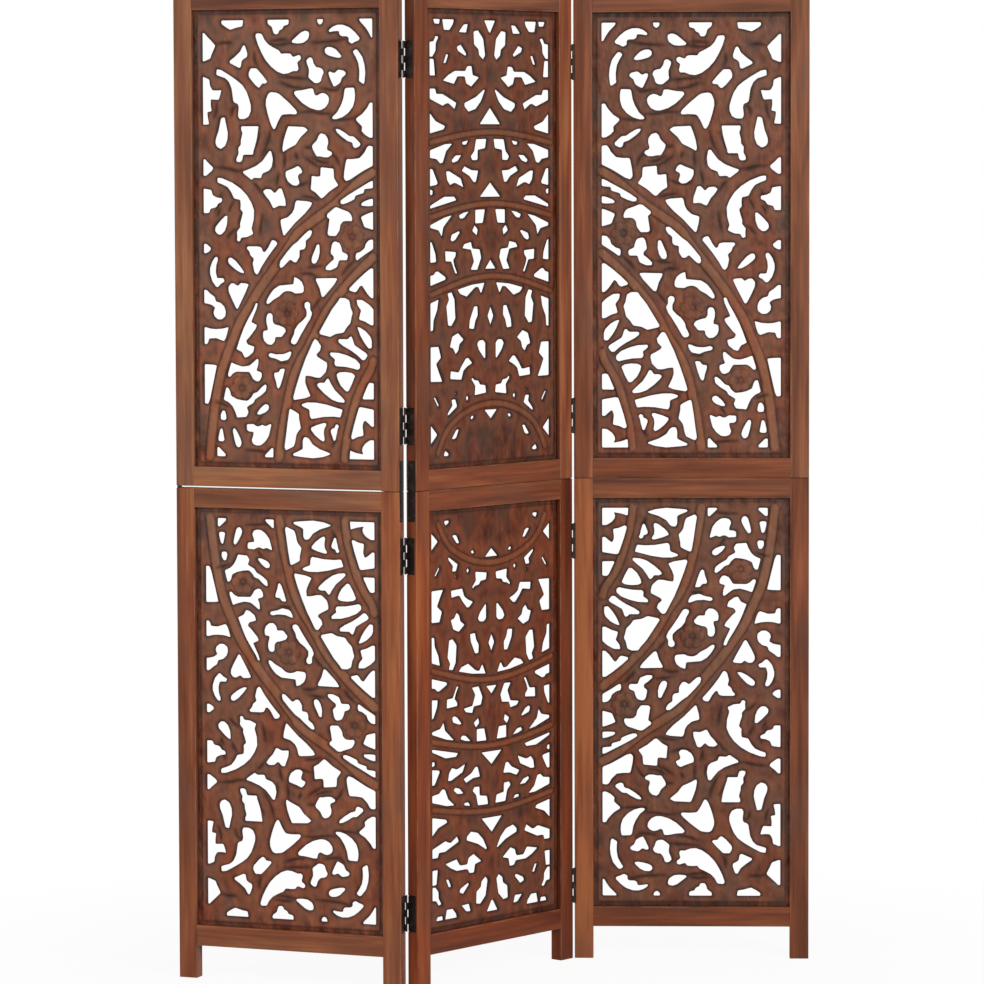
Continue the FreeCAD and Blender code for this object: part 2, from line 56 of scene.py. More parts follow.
# The openings of the side boards' carving, drawn in four strips on a grid of this width and height for the
# whole carved field. x counts from the centre panel outwards, y from a strip's top towards the seam.
carvingGrid = {"width": 1892, "height": 4642, "stripTops": (0, .2398, .4896, .7398)}
sideOpenings = {
    0: [
        [(0, 0), (150, 0), (140, 25), (75, 95), (40, 150), (15, 200), (0, 200)],
        [(135, 205), (190, 140), (250, 90), (320, 62), (385, 60), (440, 80), (485, 118), (475, 138),
         (430, 128), (370, 125), (368, 160), (345, 180), (280, 182), (262, 200), (265, 240), (225, 262),
         (185, 238), (150, 228)],
        [(540, 0), (612, 0), (606, 38), (576, 60), (548, 38)],
        [(700, 130), (745, 118), (790, 135), (850, 185), (895, 225), (885, 245), (820, 252), (760, 245),
         (710, 210), (695, 165)],
        [(920, 0), (1165, 0), (1160, 40), (1115, 75), (1100, 130), (1085, 152), (1040, 150), (1030, 115),
         (990, 95), (980, 65), (925, 50)],
        [(1430, 0), (1680, 0), (1680, 35), (1640, 65), (1580, 100), (1500, 75), (1440, 65)],
        [(1892, 128), (1870, 130), (1840, 165), (1790, 215), (1745, 265), (1760, 300), (1790, 365),
         (1800, 400), (1870, 430), (1892, 432)],
        [(1225, 145), (1290, 140), (1300, 165), (1275, 250), (1235, 340), (1190, 420), (1130, 490),
         (1060, 545), (990, 572), (930, 565), (870, 540), (830, 545), (815, 520), (830, 450), (790, 420),
         (790, 385), (815, 372), (880, 395), (900, 360), (960, 355), (1010, 360), (1030, 325), (1090, 295),
         (1150, 260), (1190, 215)],
        [(340, 400), (345, 380), (400, 320), (450, 295), (500, 292), (530, 315), (525, 355), (490, 380),
         (420, 400), (370, 408)],
        [(165, 325), (190, 318), (220, 345), (190, 395), (160, 460), (148, 540), (150, 620), (155, 650),
         (100, 688), (88, 670), (78, 570), (85, 490), (110, 400)],
        [(290, 570), (310, 545), (375, 530), (400, 545), (415, 565), (440, 565), (460, 550), (490, 555),
         (485, 590), (455, 660), (430, 712), (390, 695), (355, 670), (335, 615), (300, 590)],
        [(675, 400), (700, 400), (735, 430), (725, 470), (705, 520), (705, 560), (712, 610), (680, 640),
         (640, 672), (600, 670), (570, 655), (555, 600), (535, 560), (550, 525), (585, 508), (620, 505),
         (650, 460), (660, 415)],
        [(1420, 262), (1440, 268), (1470, 330), (1530, 385), (1590, 430), (1590, 450), (1550, 470),
         (1480, 505), (1460, 495), (1450, 430), (1430, 410), (1390, 390), (1385, 355), (1405, 290)],
        [(1285, 510), (1355, 510), (1378, 560), (1375, 600), (1310, 680), (1265, 718), (1240, 700),
         (1225, 672), (1175, 668), (1165, 650), (1220, 580)],
        [(1735, 515), (1742, 575), (1700, 590), (1640, 610), (1600, 650), (1570, 720), (1560, 790),
         (1552, 850), (1540, 870), (1500, 885), (1490, 920), (1500, 1010), (1485, 1045), (1420, 1045),
         (1375, 1020), (1350, 960), (1350, 900), (1370, 830), (1395, 760), (1440, 690), (1500, 640),
         (1580, 585), (1680, 525)],
        [(1892, 595), (1870, 600), (1815, 625), (1808, 690), (1780, 740), (1720, 742), (1680, 735),
         (1690, 780), (1710, 840), (1800, 835), (1800, 900), (1790, 960), (1840, 970), (1835, 1020),
         (1820, 1100), (1892, 1105)],
        [(200, 730), (210, 722), (300, 725), (312, 745), (325, 830), (350, 900), (395, 980), (450, 1030),
         (445, 1050), (400, 1052), (330, 1030), (265, 985), (215, 920), (195, 850), (192, 790)],
        [(655, 728), (700, 728), (780, 745), (860, 752), (875, 775), (850, 810), (780, 880), (700, 930),
         (620, 955), (570, 955), (520, 930), (485, 880), (478, 830), (500, 795), (540, 775), (575, 780),
         (620, 805), (640, 790)],
        [(1030, 785), (1060, 770), (1130, 762), (1160, 780), (1185, 840), (1188, 900), (1170, 980),
         (1150, 1050), (1125, 1120), (1100, 1158), (1080, 1150), (1045, 1070), (1010, 1010), (990, 1000),
         (920, 995), (850, 1000), (832, 985), (850, 950), (930, 870)],
        [(0, 880), (35, 880), (60, 930), (120, 1000), (185, 1045), (185, 1065), (120, 1130), (125, 1180),
         (130, 1173), (95, 1213), (40, 1248), (0, 1248)],
        [(1645, 1025), (1690, 1035), (1720, 1173), (1750, 1253), (1755, 1303), (1735, 1343), (1690, 1363),
         (1640, 1328), (1615, 1263), (1610, 1193)],
    ],
    1: [
        [(415, 40), (400, 75), (350, 120), (280, 170), (230, 185), (218, 235), (190, 245), (140, 220),
         (135, 195), (190, 140), (215, 120), (255, 120), (300, 85), (370, 45)],
        [(575, 85), (600, 110), (620, 160), (675, 215), (665, 260), (625, 330), (580, 330), (545, 340),
         (490, 340), (450, 310), (455, 285), (500, 265), (505, 240), (490, 190), (495, 140), (525, 100)],
        [(715, 50), (760, 20), (930, 12), (940, 15), (965, 80), (990, 160), (1005, 250), (998, 285),
         (930, 245), (850, 205), (800, 130), (750, 85)],
        [(1265, 10), (1465, 10), (1465, 50), (1450, 80), (1470, 160), (1470, 205), (1500, 240), (1495, 300),
         (1520, 350), (1520, 385), (1470, 390), (1450, 370), (1440, 310), (1330, 310), (1325, 270),
         (1300, 190), (1280, 110)],
        [(0, 225), (50, 220), (70, 240), (95, 290), (150, 350), (220, 360), (290, 360), (300, 380),
         (320, 490), (325, 560), (300, 592), (250, 575), (180, 530), (100, 480), (0, 430)],
        [(435, 460), (580, 445), (585, 540), (615, 545), (680, 535), (685, 610), (692, 680), (640, 710),
         (575, 775), (550, 765), (480, 700), (380, 635), (400, 605), (428, 560), (430, 500)],
        [(780, 490), (800, 450), (830, 430), (880, 455), (970, 490), (970, 540), (945, 595), (890, 635),
         (840, 640), (810, 610), (830, 545), (820, 520), (785, 505)],
        [(1125, 275), (1150, 270), (1185, 320), (1230, 380), (1300, 430), (1380, 465), (1450, 490),
         (1440, 510), (1350, 580), (1320, 555), (1240, 560), (1225, 510), (1150, 480), (1120, 440),
         (1110, 360)],
        [(1892, 355), (1865, 360), (1840, 390), (1775, 450), (1790, 480), (1860, 535), (1892, 535)],
        [(1735, 555), (1735, 605), (1680, 625), (1620, 655), (1580, 710), (1550, 775), (1480, 790),
         (1475, 850), (1480, 890), (1450, 920), (1465, 980), (1485, 1045), (1480, 1080), (1520, 1130),
         (1515, 1180), (1520, 1225), (1485, 1235), (1465, 1190), (1400, 1185), (1330, 1150), (1350, 1095),
         (1325, 1000), (1320, 900), (1350, 820), (1400, 740), (1470, 670), (1560, 610), (1680, 560)],
        [(1892, 670), (1800, 685), (1785, 740), (1740, 765), (1680, 775), (1680, 810), (1725, 830),
         (1750, 870), (1810, 885), (1825, 930), (1892, 932)],
        [(1620, 960), (1645, 958), (1700, 1010), (1760, 1080), (1765, 1125), (1730, 1160), (1690, 1160),
         (1650, 1120), (1625, 1050)],
        [(1010, 670), (1045, 668), (1090, 720), (1130, 680), (1190, 675), (1225, 700), (1190, 755),
         (1150, 800), (1110, 880), (1090, 875), (1040, 850), (965, 855), (970, 790)],
        [(670, 820), (720, 805), (850, 795), (865, 820), (875, 880), (900, 930), (950, 975), (1030, 1000),
         (1025, 1060), (1000, 1165), (985, 1170), (940, 1120), (860, 1030), (760, 940), (690, 860)],
        [(0, 585), (40, 600), (110, 640), (200, 690), (300, 750), (370, 800), (365, 830), (330, 835),
         (270, 815), (200, 780), (195, 745), (150, 730), (100, 715), (95, 675), (0, 665)],
        [(0, 775), (50, 785), (110, 810), (135, 830), (130, 850), (60, 855), (0, 852)],
        [(400, 865), (430, 870), (520, 945), (515, 970), (485, 990), (495, 1060), (508, 1150), (490, 1168),
         (410, 1170), (370, 1110), (360, 1050), (330, 1015), (280, 1010), (235, 1015), (228, 985), (245, 940),
         (270, 915), (340, 890)],
        [(0, 912), (40, 925), (90, 945), (138, 970), (120, 1020), (100, 1075), (50, 1090), (0, 1105)],
        [(680, 1110), (720, 1115), (760, 1150), (850, 1235), (900, 1270), (970, 1350), (1040, 1440),
         (1050, 1490), (1035, 1515), (1000, 1500), (950, 1450), (920, 1420), (885, 1450), (850, 1450),
         (815, 1390), (815, 1320), (760, 1310), (745, 1280), (745, 1220), (700, 1185), (675, 1140)],
    ],
    2: [
        [(0, 45), (50, 52), (85, 90), (100, 140), (150, 180), (190, 190), (200, 230), (190, 268), (170, 262),
         (100, 210), (0, 145)],
        [(370, 85), (410, 70), (440, 70), (460, 100), (475, 180), (470, 200), (440, 225), (440, 260),
         (480, 290), (530, 340), (530, 370), (470, 372), (400, 340), (375, 265), (320, 265), (290, 265),
         (278, 225), (290, 200), (340, 180), (350, 130)],
        [(595, 100), (625, 100), (645, 150), (680, 230), (688, 280), (670, 305), (635, 300), (605, 250),
         (590, 180)],
        [(1060, 95), (1080, 65), (1125, 55), (1140, 80), (1170, 140), (1205, 185), (1225, 180), (1240, 135),
         (1280, 125), (1400, 125), (1412, 145), (1380, 180), (1370, 220), (1330, 255), (1345, 310),
         (1325, 400), (1300, 425), (1280, 415), (1240, 340), (1180, 250), (1120, 170)],
        [(1892, 100), (1860, 100), (1805, 145), (1820, 175), (1860, 200), (1892, 200)],
        [(1435, 400), (1470, 350), (1530, 280), (1580, 245), (1615, 250), (1622, 290), (1600, 320),
         (1540, 370), (1480, 405), (1440, 410)],
        [(1735, 240), (1765, 240), (1800, 290), (1825, 360), (1825, 420), (1800, 500), (1755, 560),
         (1730, 560), (1700, 525), (1655, 500), (1670, 465), (1740, 465), (1755, 400), (1750, 330),
         (1730, 270)],
        [(1385, 530), (1410, 520), (1480, 515), (1510, 548), (1550, 520), (1590, 520), (1620, 560),
         (1615, 610), (1580, 690), (1530, 790), (1510, 790), (1470, 710), (1420, 610)],
        [(0, 350), (30, 350), (110, 410), (200, 490), (275, 565), (270, 585), (200, 605), (180, 590),
         (150, 540), (130, 530), (110, 560), (70, 620), (30, 662), (0, 665)],
        [(395, 460), (430, 455), (560, 458), (640, 460), (638, 485), (600, 560), (575, 655), (550, 655),
         (500, 600), (430, 520)],
        [(770, 600), (770, 550), (790, 500), (830, 465), (880, 445), (890, 525), (950, 530), (1050, 540),
         (1110, 580), (1150, 630), (1180, 680), (1195, 720), (1180, 740), (1150, 725), (1110, 690),
         (1040, 650), (1000, 610), (960, 595), (910, 600), (870, 622), (790, 615)],
        [(265, 690), (310, 665), (380, 665), (400, 700), (470, 790), (540, 910), (610, 1030), (600, 1050),
         (480, 1078), (420, 1045), (330, 1030), (300, 980), (255, 930), (240, 860), (228, 820), (250, 770)],
        [(0, 780), (50, 730), (120, 685), (190, 682), (180, 740), (140, 795), (155, 840), (165, 890),
         (100, 910), (30, 950), (0, 950)],
        [(185, 968), (150, 975), (90, 1010), (35, 1070), (20, 1110), (20, 1190), (60, 1195), (110, 1130),
         (150, 1060)],
        [(700, 725), (730, 705), (765, 720), (768, 760), (745, 800), (745, 860), (790, 910), (840, 950),
         (880, 1010), (885, 1050), (920, 1120), (920, 1150), (880, 1165), (855, 1150), (800, 1050),
         (740, 950), (700, 890), (678, 830), (700, 790)],
        [(1120, 850), (1145, 830), (1180, 840), (1195, 880), (1195, 930), (1180, 990), (1180, 1015),
         (1230, 1025), (1235, 1080), (1220, 1130), (1180, 1165), (1130, 1170), (1095, 1130), (1090, 1085),
         (1020, 1085), (970, 1020), (990, 985), (1040, 965), (1100, 950), (1118, 920)],
        [(1285, 730), (1315, 725), (1340, 790), (1400, 900), (1450, 1000), (1490, 1100), (1530, 1215),
         (1530, 1221), (1470, 1251), (1440, 1311), (1400, 1301), (1340, 1251), (1325, 1191), (1400, 1170),
         (1420, 1130), (1380, 1090), (1310, 1000), (1295, 960), (1360, 930), (1335, 870), (1300, 790)],
        [(1892, 590), (1860, 592), (1820, 630), (1770, 665), (1755, 715), (1700, 730), (1660, 770),
         (1645, 820), (1650, 870), (1690, 905), (1740, 905), (1780, 870), (1790, 830), (1770, 780),
         (1810, 750), (1870, 735), (1892, 735)],
        [(1615, 985), (1690, 1005), (1760, 1010), (1820, 1005), (1870, 990), (1892, 990), (1892, 1170),
         (1860, 1172), (1845, 1150), (1835, 1110), (1760, 1105), (1720, 1120), (1670, 1138), (1650, 1110),
         (1630, 1050)],
        [(240, 1070), (265, 1072), (285, 1100), (390, 1100), (395, 1130), (330, 1180), (360, 1161),
         (250, 1221), (180, 1271), (130, 1319), (100, 1319), (65, 1271), (80, 1246), (150, 1201),
         (210, 1161)],
        [(630, 1105), (660, 1102), (680, 1130), (735, 1250), (760, 1301), (820, 1461), (870, 1611),
         (905, 1731), (890, 1753), (760, 1731), (700, 1706), (740, 1621), (760, 1561), (755, 1491),
         (700, 1496), (640, 1511), (590, 1511), (530, 1451), (515, 1391), (515, 1351), (570, 1321),
         (620, 1291), (635, 1266), (590, 1221), (580, 1161), (578, 1180)],
    ],
    3: [
        [(150, 200), (200, 150), (290, 110), (380, 85), (485, 80), (485, 110), (430, 155), (440, 195),
         (425, 225), (320, 230), (240, 245), (175, 262), (150, 240)],
        [(910, 85), (925, 75), (1000, 105), (1080, 110), (1150, 95), (1175, 115), (1160, 140), (1090, 155),
         (1030, 182), (950, 165), (925, 130)],
        [(205, 320), (240, 295), (310, 285), (380, 290), (415, 310), (405, 360), (370, 430), (310, 492),
         (280, 490), (240, 410)],
        [(515, 355), (535, 380), (550, 405), (600, 402), (635, 420), (620, 450), (550, 520), (470, 580),
         (400, 605), (330, 612), (318, 590), (360, 545), (430, 480), (480, 400), (495, 365)],
        [(985, 265), (1000, 260), (1040, 265), (1060, 300), (1110, 305), (1110, 340), (1090, 400),
         (1078, 465), (1060, 475), (1040, 450), (1010, 360)],
        [(1280, 165), (1300, 158), (1340, 195), (1390, 235), (1460, 245), (1530, 225), (1590, 200),
         (1600, 230), (1630, 330), (1625, 355), (1600, 355), (1570, 320), (1530, 298), (1460, 300),
         (1390, 300), (1365, 340), (1345, 380), (1300, 402), (1270, 395), (1245, 350), (1245, 305),
         (1305, 285), (1285, 230)],
        [(1190, 440), (1210, 430), (1250, 460), (1300, 515), (1345, 530), (1365, 570), (1410, 610),
         (1470, 605), (1530, 590), (1590, 560), (1605, 500), (1625, 470), (1650, 470), (1665, 530),
         (1680, 600), (1620, 630), (1580, 670), (1550, 730), (1530, 790), (1480, 785), (1420, 780),
         (1395, 730), (1415, 680), (1400, 665), (1340, 630), (1320, 590), (1250, 545), (1200, 500)],
        [(1750, 235), (1800, 228), (1892, 225), (1892, 645), (1850, 648), (1830, 600), (1790, 420)],
        [(0, 400), (50, 395), (70, 420), (128, 560), (120, 572), (30, 570), (0, 570)],
        [(345, 685), (400, 670), (520, 635), (640, 615), (740, 615), (805, 635), (800, 655), (720, 690),
         (715, 760), (700, 790), (640, 780), (560, 765), (450, 760), (370, 768)],
        [(0, 680), (140, 655), (170, 660), (190, 720), (230, 850), (262, 980), (240, 1000), (180, 970),
         (115, 955), (125, 850), (110, 800), (95, 800), (60, 830), (30, 860), (0, 860)],
        [(1165, 660), (1190, 640), (1220, 645), (1270, 690), (1305, 740), (1295, 755), (1260, 750),
         (1200, 725), (1170, 695)],
        [(1660, 720), (1690, 715), (1715, 760), (1712, 815), (1660, 820), (1645, 800), (1650, 760)],
        [(385, 860), (410, 838), (435, 855), (435, 880), (470, 890), (485, 915), (470, 960), (450, 1015),
         (430, 1015), (410, 940), (400, 885)],
        [(525, 835), (550, 828), (640, 855), (705, 885), (700, 910), (660, 960), (600, 1010), (560, 1030),
         (545, 1010), (555, 940), (550, 890), (530, 860)],
        [(830, 740), (870, 715), (935, 682), (948, 700), (970, 840), (990, 1000), (1005, 1100), (985, 1130),
         (930, 1105), (890, 1085), (875, 1040), (860, 960), (840, 925), (810, 890), (820, 840), (830, 790)],
        [(1140, 860), (1150, 850), (1210, 878), (1240, 860), (1285, 880), (1310, 878), (1340, 855),
         (1420, 860), (1420, 920), (1400, 935), (1345, 940), (1350, 980), (1368, 1030), (1350, 1070),
         (1310, 1085), (1260, 1080), (1210, 1040), (1170, 980)],
        [(1550, 905), (1570, 905), (1580, 930), (1565, 1010), (1545, 1085), (1520, 1110), (1490, 1100),
         (1475, 1060), (1490, 1010), (1520, 950)],
        [(1690, 915), (1710, 905), (1725, 930), (1742, 1010), (1740, 1045), (1690, 1048), (1668, 1035),
         (1680, 970)],
        [(0, 1000), (50, 1005), (100, 1040), (130, 1080), (138, 1120), (120, 1155), (200, 1140), (270, 1115),
         (275, 1195), (275, 1207), (0, 1207)],
        [(480, 1160), (500, 1145), (600, 1110), (680, 1060), (720, 1000), (745, 985), (780, 985), (795, 1020),
         (795, 1110), (830, 1130), (905, 1165), (900, 1185), (820, 1195), (680, 1207), (560, 1190)],
        [(1120, 1110), (1140, 1105), (1180, 1150), (1220, 1190), (1215, 1207), (1120, 1207)],
        [(1655, 1185), (1690, 1150), (1730, 1110), (1755, 1110), (1755, 1207), (1660, 1207)],
    ],
}

# Centre boards: shares of the field's width and height. The pairs are mirrored about the middle.
centrePairOpenings = [
    [(.029, 0), (.092, 0), (.085, .011), (.040, .010)],
    [(.104, 0), (.207, 0), (.200, .010), (.170, .024), (.117, .024)],
    [(.240, .028), (.280, .011), (.322, .009), (.308, .029)],
    [(.362, .026), (.405, .023), (.450, .042), (.466, .080), (.445, .091), (.408, .080), (.402, .066),
     (.366, .056)],
    [(.222, .062), (.260, .056), (.310, .078), (.298, .083), (.232, .071)],
    [(.135, .079), (.160, .080), (.138, .099), (.112, .100)],
    [(0, .052), (.030, .051), (.050, .038), (.080, .040), (.058, .055), (.056, .072), (.030, .085),
     (0, .086)],
    [(0, .090), (.040, .091), (.051, .128), (0, .128)],
    [(.108, .139), (.150, .127), (.205, .117), (.292, .117), (.308, .106), (.352, .105), (.362, .126),
     (.413, .131), (.345, .153), (.300, .145), (.288, .129), (.235, .129), (.205, .147)],
    [(0, .158), (.052, .158), (.062, .170), (.112, .170), (.226, .190), (.208, .205), (.150, .190),
     (.108, .197), (0, .181)],
    [(.450, .158), (.463, .160), (.430, .185), (.385, .203), (.320, .210), (.285, .198), (.285, .190),
     (.380, .176)],
    [(0, .211), (.055, .232), (.132, .243), (.120, .250), (0, .260)],
    [(0, .298), (.125, .284), (.190, .283), (.140, .300), (.112, .326), (.082, .328), (.055, .318),
     (0, .315)],
    [(.264, .279), (.322, .275), (.305, .285), (.268, .285)],
    [(.380, .273), (.473, .272), (.463, .293), (.402, .297), (.400, .320), (.350, .321), (.335, .312),
     (.365, .300)],
    [(.176, .321), (.210, .310), (.265, .309), (.235, .322), (.190, .327)],
    [(0, .340), (.028, .341), (.070, .372), (.062, .376), (0, .380)],
    [(0, .386), (.030, .390), (.025, .399), (0, .400)],
    [(.260, .345), (.285, .334), (.350, .344), (.405, .345), (.385, .371), (.358, .371), (.325, .357)],
    [(.131, .346), (.165, .346), (.260, .363), (.282, .384), (.205, .372), (.165, .378), (.140, .366)],
    [(0, .424), (.115, .404), (.205, .404), (.222, .412), (0, .431)],
    [(0, .468), (.120, .451), (.187, .446), (.115, .473), (.100, .497), (.068, .480), (0, .474)],
    [(.235, .447), (.275, .441), (.326, .438), (.285, .453), (.248, .455)],
    [(.372, .435), (.460, .434), (.442, .465), (.372, .466)],
    [(.346, .483), (.368, .469), (.400, .480), (.390, .495)],
    [(.166, .503), (.175, .491), (.235, .483), (.252, .485), (.215, .502), (.185, .507)],
    [(0, .505), (.020, .508), (.050, .535), (.055, .552), (0, .554)],
    [(.122, .528), (.218, .531), (.215, .540), (.195, .549), (.205, .562), (.228, .580), (.205, .580),
     (.172, .552), (.125, .551)],
    [(.264, .522), (.280, .513), (.342, .508), (.355, .524), (.415, .526), (.428, .545), (.395, .573),
     (.333, .572), (.360, .553), (.335, .526)],
    [(0, .583), (.025, .582), (.045, .574), (.070, .574), (.133, .588), (.130, .593), (0, .607)],
    [(.223, .617), (.340, .607), (.455, .603), (.428, .627), (.415, .626), (.395, .612), (.375, .613),
     (.305, .634), (.245, .627)],
    [(0, .646), (.074, .637), (.062, .662), (.032, .686), (.028, .708), (0, .710)],
    [(.140, .625), (.180, .622), (.205, .640), (.212, .683), (.178, .700), (.144, .698), (.130, .655),
     (.152, .639)],
    [(.360, .657), (.395, .657), (.398, .678), (.378, .690), (.365, .709), (.318, .707), (.324, .688)],
    [(.158, .748), (.178, .724), (.230, .716), (.279, .732), (.245, .742), (.235, .757), (.208, .766),
     (.185, .751)],
    [(.384, .744), (.400, .736), (.440, .735), (.460, .742), (.460, .777), (.445, .778), (.400, .758)],
    [(0, .746), (.072, .746), (.092, .771), (.052, .785), (.075, .805), (.102, .826), (0, .825)],
    [(.292, .775), (.318, .775), (.350, .787), (.310, .794), (.278, .803), (.260, .824), (.160, .821),
     (.165, .803), (.230, .807), (.255, .792)],
    [(.335, .824), (.348, .820), (.368, .827), (.402, .829), (.415, .838), (.460, .840), (.466, .857),
     (.363, .862), (.368, .840)],
    [(.197, .855), (.205, .852), (.213, .855), (.205, .858)],
    [(.288, .867), (.302, .860), (.318, .867), (.302, .875)],
    [(.023, .861), (.043, .862), (.072, .880), (.060, .884)],
    [(.170, .869), (.208, .868), (.224, .885), (.160, .902), (.140, .906), (.138, .900), (.178, .882)],
    [(.325, .914), (.338, .908), (.362, .910), (.345, .918)],
    [(0, .923), (.060, .947), (0, .970)],
    [(.172, .958), (.210, .938), (.237, .938), (.215, .957), (.190, .960)],
    [(.105, .993), (.120, .984), (.152, .992), (.148, .997), (.110, .997)],
]
centreMiddleOpenings = [
    [(.451, 0), (.549, 0), (.508, .028), (.492, .028)],
    [(.500, .199), (.411, .238), (.589, .238)],
    [(.500, .371), (.411, .405), (.588, .405)],
    [(.500, .549), (.453, .571), (.547, .571)],
    [(.500, .656), (.528, .680), (.500, .704), (.472, .680)],
    [(.445, .897), (.556, .897), (.500, .919)],
]

# The raised bands: how wide each is in mm, then its middle line in shares of the field
sideBands = [
    (17, [(0, .348), (.10, .375), (.21, .419), (.33, .452), (.449, .488), (.476, .511), (.581, .569),
          (.66, .610), (.74, .662), (.793, .696), (.846, .750), (.898, .804), (.93, .869), (.951, .934),
          (.967, 1)]),
    (17, [(0, .541), (.079, .571), (.159, .606), (.222, .636), (.296, .679), (.338, .714), (.38, .748),
          (.423, .772), (.476, .822), (.507, .880), (.534, .934), (.555, 1)]),
    (15, [(0, .775), (.01, .794), (.053, .822), (.09, .852), (.111, .878), (.132, .912),
          (.159, .955), (.169, 1)]),
]
centreBands = [
    (11, [(0, .28), (.17, .268), (.33, .259), (.5, .255), (.67, .259), (.83, .268), (1, .28)]),
    (11, [(0, .45), (.17, .435), (.33, .424), (.5, .42), (.67, .424), (.83, .435), (1, .45)]),
    (11, [(0, .627), (.17, .607), (.33, .592), (.5, .587), (.67, .592), (.83, .607), (1, .627)]),
    (12, [(.05, .99), (.10, .95), (.17, .92), (.33, .89), (.5, .88), (.67, .89), (.83, .92), (.90, .95),
          (.95, .99)]),
]
# in the same shares, the flowers' middles and the knife's cuts along the leaves
sideFlowers = [(.12, .494), (.505, .67), (.775, .842)]
sideVeins = [
    [(.15, .045), (.25, .052), (.36, .053)], [(.49, .048), (.53, .044), (.60, .049)],
    [(.385, .135), (.45, .132), (.55, .130)], [(.42, .155), (.48, .153), (.54, .141)],
    [(.245, .215), (.30, .214), (.36, .209), (.43, .211)], [(.11, .226), (.17, .228), (.24, .226)],
    [(.83, .052), (.87, .050), (.92, .055)], [(.69, .075), (.69, .093), (.67, .105)],
    [(.80, .196), (.82, .20), (.83, .22)], [(.915, .19), (.92, .21), (.935, .225)],
    [(.185, .152), (.21, .162), (.25, .160), (.31, .156)],
    [(.60, .255), (.61, .275), (.635, .300), (.66, .315)], [(.36, .291), (.395, .290)],
    [(.315, .335), (.35, .327), (.395, .313)], [(.45, .305), (.44, .318)],
    [(.515, .303), (.515, .325), (.52, .340)], [(.583, .305), (.578, .34)],
    [(.55, .35), (.56, .365), (.565, .378)], [(.77, .344), (.81, .344), (.85, .338), (.925, .336)],
    [(.70, .306), (.76, .307)], [(.655, .395), (.675, .380), (.70, .372)],
    [(.32, .410), (.36, .404), (.42, .402)], [(.65, .445), (.655, .465), (.668, .492)],
    [(.82, .415), (.835, .425), (.85, .440)], [(.90, .43), (.915, .450)],
    [(.81, .478), (.84, .488), (.86, .498)], [(.115, .550), (.15, .562), (.18, .580)],
    [(.30, .560), (.34, .562), (.39, .565)], [(.34, .583), (.38, .577), (.43, .580)],
    [(.31, .635), (.34, .650), (.36, .662)], [(.50, .782), (.56, .783)], [(.66, .905), (.69, .922)],
    [(.62, .990), (.68, .985), (.76, .985)], [(.86, .885), (.90, .878), (.93, .875)],
    [(.225, .955), (.245, .975)], [(.47, .052), (.53, .058), (.60, .056)],
    [(.89, .395), (.91, .42), (.93, .44)],
    [(.38, .37), (.43, .378), (.50, .375)], [(.25, .30), (.21, .315), (.19, .335)],
    [(.66, .26), (.685, .282), (.695, .30)], [(.26, .326), (.31, .324), (.36, .312)],
]
sections = ("upper", "lower")


# places

def panelFrame(panel):
    # a panel's origin and directions, from where its two upper stiles stand
    middles = []
    for side in ("left", "right"):
        low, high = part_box("%s_upper_%s_stile" % (panel, side))
        middles.append((low + high) / 2)
    across = (middles[1] - middles[0]).normalized()
    inward = Vector((-across.y, across.x, 0))
    origin = middles[0] - across * screen["stileWidth"] * mm / 2 - inward * screen["thickness"] * mm / 2
    origin.z = 0
    place = Matrix.Identity(4)
    for column, direction in enumerate((across, inward, Vector((0, 0, 1)))):
        place.col[column] = (*(direction * mm), 0)
    place.col[3] = (*origin, 1)
    return place


panelPlaces = {panel: panelFrame(panel) for panel in ("left", "centre", "right")}


def place(piece, panel):
    # puts a piece made in panel millimetres where it stands, with its object at the origin
    piece.data.transform(panelPlaces[panel])
    piece.data.update()


def localPoints(mesh, panel):
    back = panelPlaces[panel].inverted()
    return np.array([(back @ v.co)[:] for v in mesh.vertices])


def newPiece(name, vertices, faces):
    mesh = bpy.data.meshes.new(name)
    mesh.from_pydata(vertices, [], faces)
    mesh.validate()
    piece = bpy.data.objects.new(name, mesh)
    bpy.context.scene.collection.objects.link(piece)
    return piece


def pickOnly(piece):
    bpy.ops.object.select_all(action="DESELECT")
    piece.select_set(True)
    bpy.context.view_layer.objects.active = piece


def writeVectors(mesh, name, values):
    attribute = mesh.attributes.new(name, "FLOAT_VECTOR", "POINT")
    attribute.data.foreach_set("vector", np.asarray(values, np.float32).ravel())


def writeValues(mesh, name, values):
    attribute = mesh.attributes.new(name, "FLOAT", "POINT")
    attribute.data.foreach_set("value", np.asarray(values, np.float32))


# materials

def colour(code):
    # sRGB hex to linear
    parts = [int(code[i:i + 2], 16) / 255 for i in (1, 3, 5)]
    return [c / 12.92 if c <= .04045 else ((c + .055) / 1.055) ** 2.4 for c in parts] + [1]


def addNode(tree, kind, values=(), links=(), ramp=(), **settings):
    node = tree.nodes.new("ShaderNode" + kind)
    for key, value in settings.items():
        setattr(node, key, value)
    for socket, value in dict(values).items():
        node.inputs[socket].default_value = value
    for socket, source in dict(links).items():
        tree.links.new(source, node.inputs[socket])
    for number, (position, code) in enumerate(ramp):
        # a new ramp has two stops already
        stops = node.color_ramp.elements
        stop = stops[number] if number < 2 else stops.new(position)
        stop.position, stop.color = position, colour(code)
    return node


def newMaterial(name):
    material = bpy.data.materials.new(name)
    material.use_nodes = True
    material.node_tree.nodes.clear()
    return material, material.node_tree


def finishMaterial(tree, shader):
    addNode(tree, "OutputMaterial", links={"Surface": shader.outputs[0]})


def attributeOf(tree, name, output="Fac"):
    return addNode(tree, "Attribute", attribute_name=name).outputs[output]


def attributeParts(tree, name):
    return addNode(tree, "SeparateXYZ", links={"Vector": attributeOf(tree, name, "Vector")}).outputs


